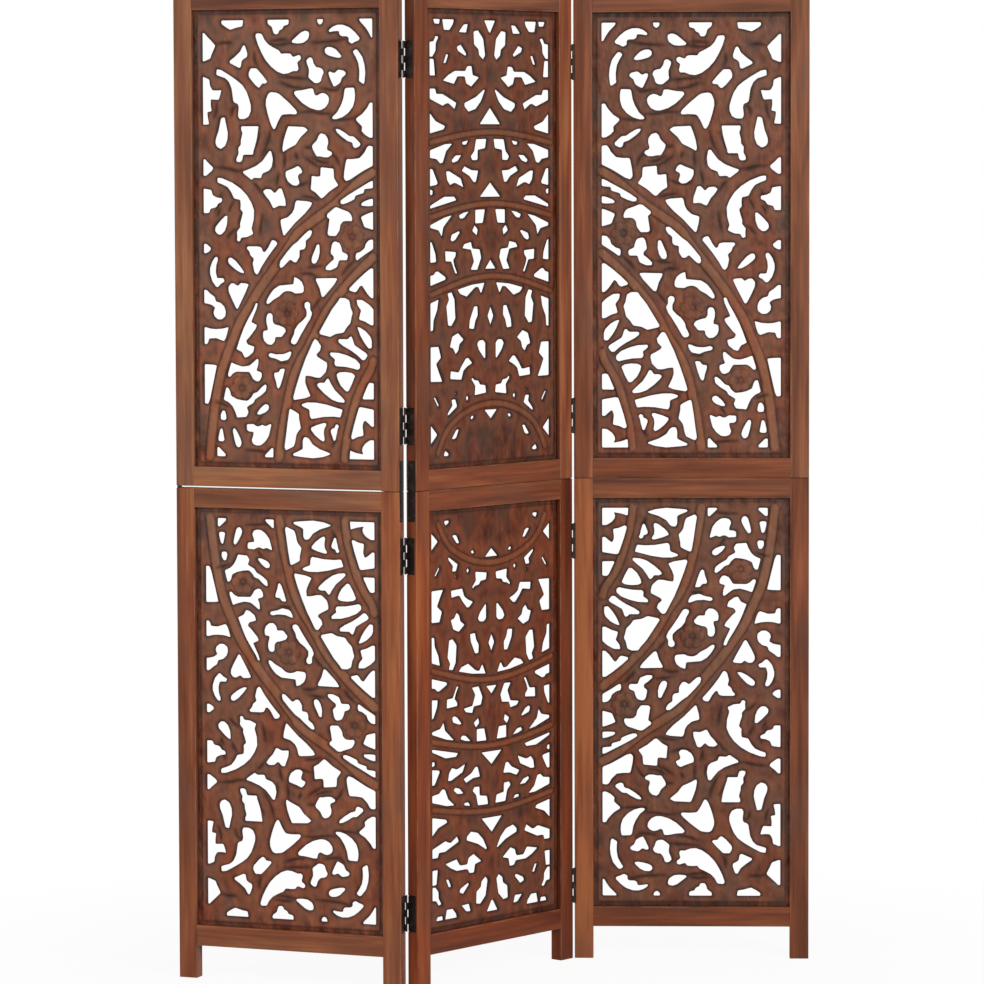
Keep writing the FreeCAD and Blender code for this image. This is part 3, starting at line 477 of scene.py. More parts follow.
def noise(tree, source, scale, detail=3, roughness=.55, distortion=0):
    # noise on a coordinate stretched by three scales, in patterns per metre
    mapped = addNode(tree, "Mapping", {"Scale": scale}, {"Vector": source})
    settings = {"Scale": 1, "Detail": detail, "Roughness": roughness, "Distortion": distortion}
    return addNode(tree, "TexNoise", settings, {"Vector": mapped.outputs[0]}).outputs[0]


def spread(tree, source, low, high, start=0, end=1):
    span = {"From Min": low, "From Max": high, "To Min": start, "To Max": end}
    return addNode(tree, "MapRange", span, {"Value": source}).outputs[0]


def fillSockets(tree, node, sources):
    for socket, source in sources.items():
        if isinstance(source, str):
            node.inputs[socket].default_value = colour(source)
        elif isinstance(source, (int, float)):
            node.inputs[socket].default_value = source
        else:
            tree.links.new(source, node.inputs[socket])


def mixed(tree, factor, first, second, kind="MIX"):
    node = addNode(tree, "Mix", data_type="RGBA", blend_type=kind)
    # a Mix node's colour sockets come after those for numbers and vectors
    fillSockets(tree, node, {0: factor, 6: first, 7: second})
    return node.outputs[2]


def maths(tree, kind, first, second=0):
    node = addNode(tree, "Math", operation=kind)
    fillSockets(tree, node, {0: first, 1: second})
    return node.outputs[0]


def bumps(tree, height, strength, distance, under=None):
    links = {"Height": height} if under is None else {"Height": height, "Normal": under}
    return addNode(tree, "Bump", {"Strength": strength, "Distance": distance}, links).outputs[0]


# For both woods: patterns per metre across, through and along the grain, then detail, roughness and
# distortion. greyed, lined, ruddy and ragged are the spans of a pattern and of what it is spread to.
frameWood = {
    "light": "#a06e4a", "warm": "#804d34", "mid": "#683e2a", "dark": "#45281e", "grey": "#624a40",
    "worn": "#a87b5c", "redder": "#ffcead", "roughness": (.44, .6), "specular": .16,
    "ramp": ((0, "dark"), (.89, "light"), (.32, "mid"), (.54, "warm")),
    "broad": ((52, 52, 4.5), 3, .5, .35), "streak": ((150, 150, 6), 2, .5, .5), "fine": ((560, 560, 14), 2),
    "patch": ((16, 16, 5), 2), "edge": ((60, 60, 22), 3), "broadShare": .55, "streakShare": .28,
    "toneAndLightShare": .24, "toneFloor": .06, "greyed": (.5, .7, 0, .5), "lined": (.48, .7, 0, .13),
    "bump": (.25, .0005), "halfWidth": .0165, "halfThickness": .011, "wearWidth": .0028,
    "ragged": (.38, .68, .1, 1), "wearShare": .42,
}
carvedWood = {
    "light": "#926048", "warm": "#764936", "mid": "#613b2d", "dark": "#402720", "grey": "#57443b",
    "crest": "#a06f50", "shadeAndStain": "#26150f", "redder": "#ffcead", "deeper": "#9f9f9f",
    "roughness": (.44, .6), "specular": .18,
    "ramp": ((.14, "dark"), (.92, "light"), (.40, "mid"), (.62, "warm")),
    "broad": ((62, 62, 34), 3, .55), "streak": ((130, 130, 14), 2, .5), "fine": ((600, 600, 24), 2),
    "patch": ((24, 24, 12), 2), "cuts": ((95, 95, 60), 1, .4), "broadShare": .75, "streakShare": .25,
    "greyed": (.48, .66, 0, .8), "lined": (.48, .7, 0, .2), "ruddy": (.34, .5, .4, 0),
    "bump": (.3, .0006), "cutBump": (.8, .004), "bodyShare": .45, "crestShare": .42, "shadeAndStainShare": .92,
}
blackSteel = {
    "colour": "#2a211e", "rubbed": "#5a4a42", "roughness": (.35, .57), "metallic": .6,
    "cloud": (90, 90, 90), "grit": (900, 900, 900), "rubbing": (.5, .75, 0, .6), "bump": (.15, .0003),
}
# noise seldom leaves the wide span, and stays mostly in the narrow one
noiseSpans = {"wide": (.25, .75), "narrow": (.3, .7)}


def stainedWood(tree, wood, toneAndPaintedLight=None):
    # the stain's colour along the grain, from pale to dark, with greyish patches and fine dark lines
    grain = attributeOf(tree, "grain", "Vector")
    broad, streak, fine, patch = (noise(tree, grain, *wood[name])
                                  for name in ("broad", "streak", "fine", "patch"))
    shares = [maths(tree, "MULTIPLY", spread(tree, pattern, *noiseSpans["wide"]), wood[share])
              for pattern, share in ((broad, "broadShare"), (streak, "streakShare"))]
    tone = maths(tree, "ADD", *shares)
    if toneAndPaintedLight is not None:
        tone = maths(tree, "ADD", tone, toneAndPaintedLight)
    stops = [(at, wood[name]) for at, name in wood["ramp"]]
    base = addNode(tree, "ValToRGB", links={"Fac": tone}, ramp=stops)
    greyed = mixed(tree, spread(tree, patch, *wood["greyed"]), base.outputs[0], wood["grey"])
    lined = mixed(tree, spread(tree, fine, *wood["lined"]), greyed, wood["dark"])
    return grain, streak, fine, patch, lined


def finishWood(tree, wood, base, streak, fine, under=None):
    normal = bumps(tree, maths(tree, "ADD", streak, fine), *wood["bump"], under)
    rough = spread(tree, streak, *noiseSpans["narrow"], *wood["roughness"])
    shader = addNode(tree, "BsdfPrincipled", {"IOR": 1.5, "Specular IOR Level": wood["specular"]},
                     {"Base Color": base, "Roughness": rough, "Normal": normal})
    finishMaterial(tree, shader)


def makeFrameWood():
    # Mango wood with a red-brown stain, planed, rubbed back by hand: long streaks of light and dark, greyish
    # patches where the stain sat, and arrises worn through to paler wood.
    material, tree = newMaterial("StainedMangoWoodPlaned")
    # spot holds a point's place across the width and the thickness, -1 to 1, and the member's tone: its own,
    # with painted light on the right panel's left stiles
    spot = attributeParts(tree, "spot")
    toneAndPaintedLight = maths(tree, "MULTIPLY", spot[2], frameWood["toneAndLightShare"])
    toneAndPaintedLight = maths(tree, "ADD", toneAndPaintedLight, frameWood["toneFloor"])
    grain, streak, fine, _, tint = stainedWood(tree, frameWood, toneAndPaintedLight)
    tint = mixed(tree, attributeOf(tree, "redness"), tint, frameWood["redder"], "MULTIPLY")
    # how far inside the arris a point lies, against how wide the ragged worn edge is there
    shares = [maths(tree, "SUBTRACT", 1, maths(tree, "ABSOLUTE", spot[n])) for n in (0, 1)]
    inside = [maths(tree, "MULTIPLY", share, frameWood[half])
              for share, half in zip(shares, ("halfWidth", "halfThickness"))]
    ragged = spread(tree, noise(tree, grain, *frameWood["edge"]), *frameWood["ragged"])
    width = maths(tree, "MULTIPLY", ragged, frameWood["wearWidth"])
    wear = maths(tree, "SUBTRACT", 1, maths(tree, "DIVIDE", maths(tree, "MAXIMUM", *inside), width))
    tint = mixed(tree, spread(tree, wear, 0, 1, 0, frameWood["wearShare"]), tint, frameWood["worn"])
    finishWood(tree, frameWood, tint, streak, fine)
    return material


def makeCarvedWood():
    # The same stain on hand-carved mango wood, darker in cuts, along the openings' saw walls and in the
    # recess by the frame, partly stain left there and partly painted shade; paler on the crests of the raised
    # bands and petals, partly wear and partly painted highlight.
    material, tree = newMaterial("StainedMangoWoodCarved")
    grain, streak, fine, patch, tint = stainedWood(tree, carvedWood)
    # relief holds how much painted shade and stain darkens a point, how near a crest it lies and how far
    # inside a leaf, where the wood is painted paler
    relief = attributeParts(tree, "relief")
    for part, share, code in ((2, "bodyShare", "light"), (1, "crestShare", "crest"),
                              (0, "shadeAndStainShare", "shadeAndStain")):
        tint = mixed(tree, maths(tree, "MULTIPLY", relief[part], carvedWood[share]), tint, carvedWood[code])
    tint = mixed(tree, attributeOf(tree, "ownShade"), tint, carvedWood["deeper"], "MULTIPLY")
    ruddy = maths(tree, "ADD", attributeOf(tree, "redness"), spread(tree, patch, *carvedWood["ruddy"]))
    tint = mixed(tree, ruddy, tint, carvedWood["redder"], "MULTIPLY")
    cuts = bumps(tree, noise(tree, grain, *carvedWood["cuts"]), *carvedWood["cutBump"])
    finishWood(tree, carvedWood, tint, streak, fine, cuts)
    return material


def makeBlackSteel():
    # Mild steel with a thin black finish, handled: a soft sheen, a little brown where it has rubbed.
    material, tree = newMaterial("BlackenedSteel")
    spot = addNode(tree, "TexCoord").outputs["Object"]
    cloud = noise(tree, spot, blackSteel["cloud"])
    rubbing = spread(tree, cloud, *blackSteel["rubbing"])
    tint = mixed(tree, rubbing, blackSteel["colour"], blackSteel["rubbed"])
    rough = spread(tree, cloud, *noiseSpans["narrow"], *blackSteel["roughness"])
    grit = bumps(tree, noise(tree, spot, blackSteel["grit"]), *blackSteel["bump"])
    shader = addNode(tree, "BsdfPrincipled", {"Metallic": blackSteel["metallic"]},
                     {"Base Color": tint, "Roughness": rough, "Normal": grit})
    finishMaterial(tree, shader)
    return material


frameWoodMaterial = makeFrameWood()
carvedWoodMaterial = makeCarvedWood()
blackSteelMaterial = makeBlackSteel()
print("materials made")

# frame members

# lengths in mm, angles in degrees; touch is how near two places count as one
member = {
    "arris": .9, "arrisSteps": 3, "crisp": .4, "seamEase": .9, "slit": 1.7, "hairline": .35, "seamReach": 2,
    "weld": .005, "touch": .1, "longRun": 20, "flatAngle": 1, "sharpAngle": 50, "smoothAngle": 40,
}
memberParts = ("left_stile", "right_stile", "top_rail", "bottom_rail")
# For those four parts in turn: how pale each is next to the others, from -.8 to 1.3, and how red its stain
# is, from 0 to 1. The paleness is each piece's own tone, and on the right panel's left stiles it also holds
# painted light that cancels the shadow the centre panel casts on them.
memberLooks = {
    "left_upper": ((.51, 0), (.56, .25), (-.55, .15), (1.2, .2)),
    "left_lower": ((.09, .48), (.7, .64), (.23, .13), (.36, .45)),
    "centre_upper": ((-.3, .65), (.34, .49), (-.12, .03), (.12, .56)),
    "centre_lower": ((.54, 1), (-.78, 1), (0, .6), (-.4, 1)),
    "right_upper": ((-.1, .34), (-.33, 0), (-.43, .11), (-.2, .48)),
    "right_lower": ((1.3, .71), (-.53, .39), (-.37, .24), (-.45, .54)),
}
# where in an endless block of wood a piece's grain starts, within this many mm of its middle
grainReach = 900
shiftDraw = np.random.default_rng(7)


def grainShift():
    return shiftDraw.uniform(-grainReach, grainReach, 3)


def makeMember(panel, section, part, looks):
    # a copy of the CAD node, joined up, its long arrises worn round and the rest just eased
    node = "%s_%s_%s" % (panel, section, part)
    piece = bpy.data.objects.new(node + "_wood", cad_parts[node].data.copy())
    bpy.context.scene.collection.objects.link(piece)
    piece.data.materials.clear()
    points = localPoints(piece.data, panel)
    low, high = points.min(0), points.max(0)
    upright = part.endswith("stile")
    along, sides = (2, (0, 1)) if upright else (0, (1, 2))
    seam, touch = screen["sectionHeight"], member["touch"]
    piece.data.transform(panelPlaces[panel].inverted())
    pickOnly(piece)
    bpy.ops.object.mode_set(mode="EDIT")
    bpy.ops.mesh.select_all(action="SELECT")
    bpy.ops.mesh.remove_doubles(threshold=member["weld"])
    bpy.ops.mesh.dissolve_limited(angle_limit=math.radians(member["flatAngle"]))
    bpy.ops.mesh.select_all(action="DESELECT")
    for step in ("arris", "seamEase", "crisp"):
        bpy.ops.mesh.select_mode(type="EDGE")
        solid = bmesh.from_edit_mesh(piece.data)
        for edge in solid.edges:
            ends = [v.co for v in edge.verts]
            runs = abs(ends[0][along] - ends[1][along]) > member["longRun"]
            outer = all(min(abs(end[s] - low[s]), abs(end[s] - high[s])) < touch
                        for s in sides for end in ends)
            sharp = len(edge.link_faces) == 2 and edge.calc_face_angle() > math.radians(member["sharpAngle"])
            atSeam = all(abs(end.z - seam) < touch for end in ends) and upright
            edge.select = {"arris": runs and outer, "seamEase": sharp and atSeam,
                           "crisp": sharp and not (runs and outer)}[step]
        bmesh.update_edit_mesh(piece.data)
        bpy.ops.mesh.bevel(offset=member[step], segments=member["arrisSteps"] if step == "arris" else 1,
                           affect="EDGES", clamp_overlap=True)
        bpy.ops.mesh.select_all(action="DESELECT")
    bpy.ops.object.mode_set(mode="OBJECT")
    # light shows between the left panel's two sections, all but under the right stile
    opening = member["slit"] if panel == "left" and part != "right_stile" else member["hairline"]
    for vertex in piece.data.vertices:
        if abs(vertex.co.z - seam) < member["seamReach"]:
            vertex.co.z += opening if section == "upper" else -opening
    bpy.ops.object.shade_smooth_by_angle(angle=math.radians(member["smoothAngle"]))
    dressMember(piece, low, high, upright, *looks)
    place(piece, panel)
    piece.data.materials.append(frameWoodMaterial)
    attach(piece, panel + "_panel")
    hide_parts(node)


def dressMember(piece, low, high, upright, tone, redness):
    # grain runs along the member, and each member is its own length of wood
    points = np.array([v.co[:] for v in piece.data.vertices])
    order = (0, 1, 2) if upright else (2, 1, 0)
    writeVectors(piece.data, "grain", (points[:, order] + grainShift()) * mm)
    middle, half = (low + high) / 2, (high - low) / 2
    spots = ((points - middle) / half)[:, order]
    spots[:, 2] = tone
    writeVectors(piece.data, "spot", spots)
    writeValues(piece.data, "redness", np.full(len(points), redness))


for panel in panelPlaces:
    for section in sections:
        for part, looks in zip(memberParts, memberLooks[panel + "_" + section]):
            makeMember(panel, section, part, looks)
print("frame members made: 24")

# carved boards, in mm; gridRow is how far apart the grid's rows are, as a share of its step
board = {
    "halfThickness": 3.5, "rimDrop": 1.6, "rimWidth": 15, "fieldStep": .9, "fieldSlope": 4,
    "cornerShare": .3, "cornerMost": (1.3, .5), "outlineStep": 2.6, "rimStep": 9, "measureStep": .4,
    "edgeRings": (.9, 2.3, 4.0, 5.8), "ringStep": 2.8, "ringClear": .82,
    "gridStep": 3.3, "gridRow": .87, "gridInset": 3, "gridMargin": 2, "margin": 1, "gridApart": 1.5,
    "apart": .75, "cell": 1.5, "edgeDrop": 1.6, "edgeReach": 6.5, "shadeAndStainReach": 3.6, "leafDrop": .7,
    "leafStart": 2.5, "leafSlope": 4, "leafTop": 1.6, "leafFade": 14, "smoothAngle": 48,
}
# the raised bands, with a cut along each side
band = {"rise": 1.3, "step": 2.4, "beside": 1.3, "measureStep": .8, "power": 4, "brim": .5, "sideDepth": 1,
        "sideWidth": 1.3, "stainAndShade": .8}
# the knife's cuts: each is deepest in its middle and runs out at its ends, which the taper sets
vein = {"depth": 2, "width": 2.6, "step": 2.2, "beside": 1.4, "measureStep": .5, "taper": (.12, .95),
        "stainAndShade": .95}
# rounded petals, each a low dome, round a small boss in a ring
flower = {
    "radius": 23, "petals": 6, "petalRadius": 8.4, "petalRing": 13.2, "petalRise": 1.5, "sink": .6,
    "bossRadius": 3.4, "bossRise": .9, "eyeRadius": 5, "ringRadius": 4.4, "ringWidth": 1.2, "gapWidth": 1.8,
    "circles": (1.6, 3.2, 4.6, 6.5, 9, 12, 15, 18, 21), "circlePoints": 48,
    "gapStainAndShade": .62, "ringStainAndShade": .6, "crest": .25,
}
# where the board enters the frame's groove, on its bevel and along the field's step it is darker: partly
# stain lying thick there and partly painted shade in these recess corners
stainAndShade = {"mouth": 8, "mouthWidth": 1.6, "mouthLeast": .05, "mouthShare": .5, "bevel": .7, "stepWidth": 1.4,
         "step": .62}
# How much darker than the left upper board's foot a board is (less than 0 counts as 0), and how red its stain
# is, each at its top and its foot, then how dark its bevel is at the left, right, bottom and top: partly
# stain and partly painted shade from the stiles and rails.
boardLooks = {
    "left_upper": ((.17, -.05), (0, .3), (.3, .1, .05, .7)),
    "left_lower": ((.1, .02), (.03, .45), (.25, .05, 0, .1)),
    "centre_upper": ((.47, .47), (.35, .5), (.25, .15, .05, .1)),
    "centre_lower": ((.36, .34), (.85, .7), (.2, .2, .1, .2)),
    "right_upper": ((.42, .24), (.05, .33), (.08, .02, .1, .9)),
    "right_lower": ((.4, .36), (0, .28), (.08, .02, .5, .1)),
}


def roundedLoop(points, most):
    # cuts every corner of an outline back by a share of its runs, but no more than most
    cut = []
    for number, here in enumerate(points):
        for there in (points[number - 1], points[(number + 1) % len(points)]):
            run = there - here
            cut.append(here + run * min(board["cornerShare"], most / max(np.linalg.norm(run), .001)))
    return cut


def dividedLine(points, step, closed=True):
    ends = list(points) + ([points[0]] if closed else [])
    out = []
    for here, there in zip(ends[:-1], ends[1:]):
        count = max(1, math.ceil(np.linalg.norm(there - here) / step))
        out += [here + (there - here) * n / count for n in range(count)]
    if not closed:
        out.append(ends[-1])
    return np.array(out)


def smoothLine(points, rounds=3):
    for turn in range(rounds):
        cut = [points[0]]
        for here, there in zip(points[:-1], points[1:]):
            cut += [here * .75 + there * .25, here * .25 + there * .75]
        points = cut + [points[-1]]
    return np.array(points)


def lineNormals(points, closed=True):
    if closed:
        run = np.roll(points, -1, 0) - np.roll(points, 1, 0)
    else:
        run = np.gradient(points, axis=0)
    run /= np.maximum(np.linalg.norm(run, axis=1, keepdims=True), .0001)
    return np.stack([-run[:, 1], run[:, 0]], 1)


def circleLine(radius, count, middle=(0, 0)):
    turns = np.linspace(0, 2 * math.pi, count, endpoint=False)
    return np.array(middle) + radius * np.stack([np.cos(turns), np.sin(turns)], 1)


def loopEdges(start, count):
    return [(start + n, start + (n + 1) % count) for n in range(count)]


def treeOf(points):
    tree = kdtree.KDTree(len(points))
    for number, (x, z) in enumerate(points):
        tree.insert((x, z, 0), number)
    tree.balance()
    return tree


def distances(points, tree):
    return np.array([tree.find((x, z, 0))[2] for x, z in points])


def insideLoops(points, loops):
    # which points lie in any of the loops
    found = np.zeros(len(points), bool)
    for loop in loops:
        low, high = loop.min(0), loop.max(0)
        near = np.where(np.all((points > low) & (points < high), axis=1))[0]
        if len(near) == 0:
            continue
        x, z = points[near, 0][:, None], points[near, 1][:, None]
        first, second = loop, np.roll(loop, -1, 0)
        spans = (first[:, 1] > z) != (second[:, 1] > z)
        rise = second[:, 1] - first[:, 1]
        rise = np.where(np.abs(rise) < 1e-9, 1e-9, rise)
        crossing = first[:, 0] + (z - first[:, 1]) * (second[:, 0] - first[:, 0]) / rise
        found[near] |= (np.sum(spans & (x < crossing), axis=1) % 2).astype(bool)
    return found


def triangulated(flat, edges, nearest):
    # flat points and the triangles between them that keep the edges; points closer than nearest are one
    points, _, triangles, _, _, _ = geometry.delaunay_2d_cdt([Vector(p) for p in flat], edges, [], 1, nearest)
    return np.array([p[:] for p in points]), np.array([t for t in triangles if len(t) == 3])


def fieldLines(panel, lines, section):
    # shares of the carved field, from the left stile and from the outer rail, to panel millimetres
    left = screen["stileWidth"] + screen["sideMargin"]
    right = screen["panelWidth"] - left
    inset, seam = screen["railHeight"] + screen["endMargin"], screen["sectionHeight"]
    outer, inner = ((2 * seam - inset, seam + inset) if section == "upper"
                    else (screen["legHeight"] + inset, seam - inset))
    found = []
    for line in lines:
        across = np.array([1 - u if panel == "left" else u for u, v in line])
        along = np.array([v for u, v in line])
        found.append(np.stack([left + (right - left) * across, outer + (inner - outer) * along], 1))
    return found


def boardPattern(panel):
    # openings, bands, flowers and cuts, as shares; the centre boards have neither flowers nor cuts
    if panel == "centre":
        twins = [[(1 - u, v) for u, v in outline] for outline in centrePairOpenings]
        return centrePairOpenings + twins + centreMiddleOpenings, centreBands, [], []
    shares = []
    for strip, outlines in sideOpenings.items():
        top = carvingGrid["stripTops"][strip]
        shares += [[(x / carvingGrid["width"], top + y / carvingGrid["height"]) for x, y in outline]
                   for outline in outlines]
    return shares, sideBands, sideFlowers, sideVeins


def carvingOf(panel, section):
    # the same in panel millimetres, with a tree of points along the openings' edges
    outlines, bands, flowers, veins = boardPattern(panel)
    loops = []
    for points in fieldLines(panel, outlines, section):
        for most in board["cornerMost"]:
            points = roundedLoop(points, most)
        loops.append(dividedLine(points, board["outlineStep"]))
    lines = fieldLines(panel, [shares for width, shares in bands], section)
    return {
        "loops": loops,
        "edges": treeOf(np.concatenate([dividedLine(loop, board["measureStep"]) for loop in loops])),
        "bands": [(width, smoothLine(list(line))) for (width, shares), line in zip(bands, lines)],
        "veins": [smoothLine(list(line), 2) for line in fieldLines(panel, veins, section)],
        "flowers": fieldLines(panel, [flowers], section)[0] if flowers else [],
    }


def boardMesh(low, high, carving):
    # The blank less its openings, as points and triangles. Its edge, the rim's inner line and the openings
    # are kept as lines. Between them come rings, lines along cuts and bands, circles and a grid.
    fixed, edges, loose = [], [], []
    rims = []
    for inset in (0, board["rimWidth"]):
        left, floor, right, top = low[0] + inset, low[1] + inset, high[0] - inset, high[1] - inset
        corners = [np.array(c, float) for c in ((left, floor), (right, floor), (right, top), (left, top))]
        rims.append(dividedLine(corners, board["rimStep"]))
    for loop in rims + carving["loops"]:
        edges += loopEdges(len(fixed), len(loop))
        fixed.extend(loop)
    for offset in board["edgeRings"]:
        for loop in carving["loops"]:
            fine = dividedLine(loop, board["ringStep"])
            for sign in (1, -1):
                ring = fine + lineNormals(fine) * offset * sign
                loose.append(ring[distances(ring, carving["edges"]) > offset * board["ringClear"]])
    for line in carving["veins"]:
        fine = dividedLine(line, vein["step"], False)
        loose += [fine + lineNormals(fine, False) * offset for offset in (0, vein["beside"], -vein["beside"])]
    for width, line in carving["bands"]:
        fine = dividedLine(line, band["step"], False)
        loose += [fine + lineNormals(fine, False) * (width / 2 + offset) * sign
                  for offset in (0, band["beside"], -band["beside"]) for sign in (1, -1)]
    for centre in carving["flowers"]:
        loose += [circleLine(radius, flower["circlePoints"], centre) for radius in flower["circles"]]
    step, inset = board["gridStep"], board["gridInset"]
    far = high - board["gridMargin"]
    across, along = np.meshgrid(np.arange(low[0] + inset, far[0], step),
                                np.arange(low[1] + inset, far[1], step * board["gridRow"]))
    across[1::2] += step / 2
    loose.append(np.stack([across.ravel(), along.ravel()], 1))

    taken = {}

    def cellOf(point):
        return int(point[0] // board["cell"]), int(point[1] // board["cell"])

    def crowded(point, gap):
        column, row = cellOf(point)
        for c in (column - 1, column, column + 1):
            for r in (row - 1, row, row + 1):
                for other in taken.get((c, r), ()):
                    if (other[0] - point[0]) ** 2 + (other[1] - point[1]) ** 2 < gap * gap:
                        return True
        return False

    for point in fixed:
        taken.setdefault(cellOf(point), []).append(point)
    kept, near, far = [], low + board["margin"], high - board["margin"]
    for number, batch in enumerate(loose):
        gap = board["gridApart"] if number == len(loose) - 1 else board["apart"]
        for point in batch[~insideLoops(batch, carving["loops"])]:
            within = near[0] < point[0] < far[0] and near[1] < point[1] < far[1]
            if within and not crowded(point, gap):
                taken.setdefault(cellOf(point), []).append(point)
                kept.append(point)
    points, triangles = triangulated(fixed + kept, edges, 1e-4)
    return points, triangles[~insideLoops(points[triangles].mean(1), carving["loops"])]


def nearness(distance, reach):
    # 1 at no distance, falling to 0 at the reach
    return 1 - np.clip(distance / reach, 0, 1)


def domed(share, power=2):
    # a rounded section, 1 in its middle and 0 where the share of its half width is 1
    return np.clip(1 - share ** power, 0, 1) ** .5


def boardRelief(points, low, high, carving, bevelStainsAndShades):
    # how high the carved surface stands above the board's middle plane, and how much painted shade and stain
    # darkens each point, how near a crest and how far inside a leaf it is
    edgeDistance = distances(points, carving["edges"])
    sideGaps = np.stack([points[:, 0] - low[0], high[0] - points[:, 0],
                         points[:, 1] - low[1], high[1] - points[:, 1]])
    rim, bevelStainAndShade = sideGaps.min(0), np.array(bevelStainsAndShades)[sideGaps.argmin(0)]
    field = np.clip((rim - board["rimWidth"]) / board["fieldSlope"], 0, 1)
    height = board["halfThickness"] - board["rimDrop"] * nearness(rim, board["rimWidth"])
    height -= board["fieldStep"] * (rim < board["rimWidth"] + .1)
    crest = np.zeros(len(points))
    # painted shade with some stain along the openings' edges, where the saw walls fall away
    shadeAndStain = nearness(edgeDistance, board["shadeAndStainReach"]) ** 1.3
    leaf = np.clip((edgeDistance - board["leafStart"]) / board["leafSlope"], 0, 1)
    leaf = leaf * np.clip(board["leafTop"] - edgeDistance / board["leafFade"], 0, 1) * field
    onBand = np.zeros(len(points), bool)
    for width, line in carving["bands"]:
        apart = distances(points, treeOf(dividedLine(line, band["measureStep"], False)))
        # the crest also makes the band paler along its middle in the colour: partly wear, partly painted
        # highlight
        crest = np.maximum(crest, domed(apart / (width / 2), band["power"]))
        onBand |= apart < width / 2 + band["brim"]
        side = np.exp(-((apart - width / 2) / band["sideWidth"]) ** 2) * field
        height -= band["sideDepth"] * side
        # painted shade with some stain in the cut beside each band
        shadeAndStain = np.maximum(shadeAndStain, side * band["stainAndShade"])
    height += (band["rise"] * crest - board["leafDrop"] * ~onBand) * field
    for centre in carving["flowers"]:
        arm = points - centre
        radius, angle = np.linalg.norm(arm, axis=1), np.arctan2(arm[:, 1], arm[:, 0])
        sector = 2 * math.pi / flower["petals"]
        nearest = np.round(angle / sector) * sector
        tip = flower["petalRing"] * np.stack([np.cos(nearest), np.sin(nearest)], 1)
        fromTip = np.linalg.norm(arm - tip, axis=1) / flower["petalRadius"]
        dome = domed(fromTip)
        within = np.clip((flower["radius"] - radius) / 2, 0, 1)
        height += (within * (flower["petalRise"] * dome - flower["sink"] * (dome < .01))
                   + flower["bossRise"] * domed(radius / flower["bossRadius"]))
        gap = nearness(np.abs(fromTip - 1) * flower["petalRadius"], flower["gapWidth"])
        gap = gap * within * (radius > flower["eyeRadius"])
        ring = nearness(np.abs(radius - flower["ringRadius"]), flower["ringWidth"])
        # painted shade with some stain in the gaps between petals and in the ring round the boss
        shadeAndStain = np.maximum(shadeAndStain, np.maximum(gap * flower["gapStainAndShade"], ring * flower["ringStainAndShade"]))
        # petal domes paler in the colour too: partly wear, partly painted highlight
        crest = np.maximum(crest * (radius > flower["radius"]), dome * flower["crest"] * within)
    if carving["veins"]:
        runs = [dividedLine(line, vein["measureStep"], False) for line in carving["veins"]]
        weights = np.concatenate([np.sin(np.linspace(*vein["taper"], len(run)) * math.pi) ** .6
                                  for run in runs])
        tree = treeOf(np.concatenate(runs))
        found = [tree.find((x, z, 0)) for x, z in points]
        apart = np.array([f[2] for f in found])
        groove = np.exp(-(apart / vein["width"]) ** 2) * weights[[f[1] for f in found]]
        height -= vein["depth"] * groove
        # painted shade with some stain in the knife's cuts
        shadeAndStain = np.maximum(shadeAndStain, groove ** .75 * vein["stainAndShade"])
    height -= board["edgeDrop"] * nearness(edgeDistance, board["edgeReach"]) ** 2
    # painted shade with stain at the groove's mouth, over the bevel and along the field's step
    mouth = nearness(np.abs(rim - stainAndShade["mouth"]), stainAndShade["mouthWidth"])
    shadeAndStain = np.maximum(shadeAndStain, mouth * (stainAndShade["mouthLeast"] + stainAndShade["mouthShare"] * bevelStainAndShade))
    shadeAndStain = np.maximum(shadeAndStain, np.where(rim < board["rimWidth"], bevelStainAndShade * stainAndShade["bevel"], 0))
    step = np.exp(-((rim - board["rimWidth"]) / stainAndShade["stepWidth"]) ** 2)
    shadeAndStain = np.maximum(shadeAndStain, step * stainAndShade["step"])
    return height, np.stack([shadeAndStain, crest, leaf], 1)


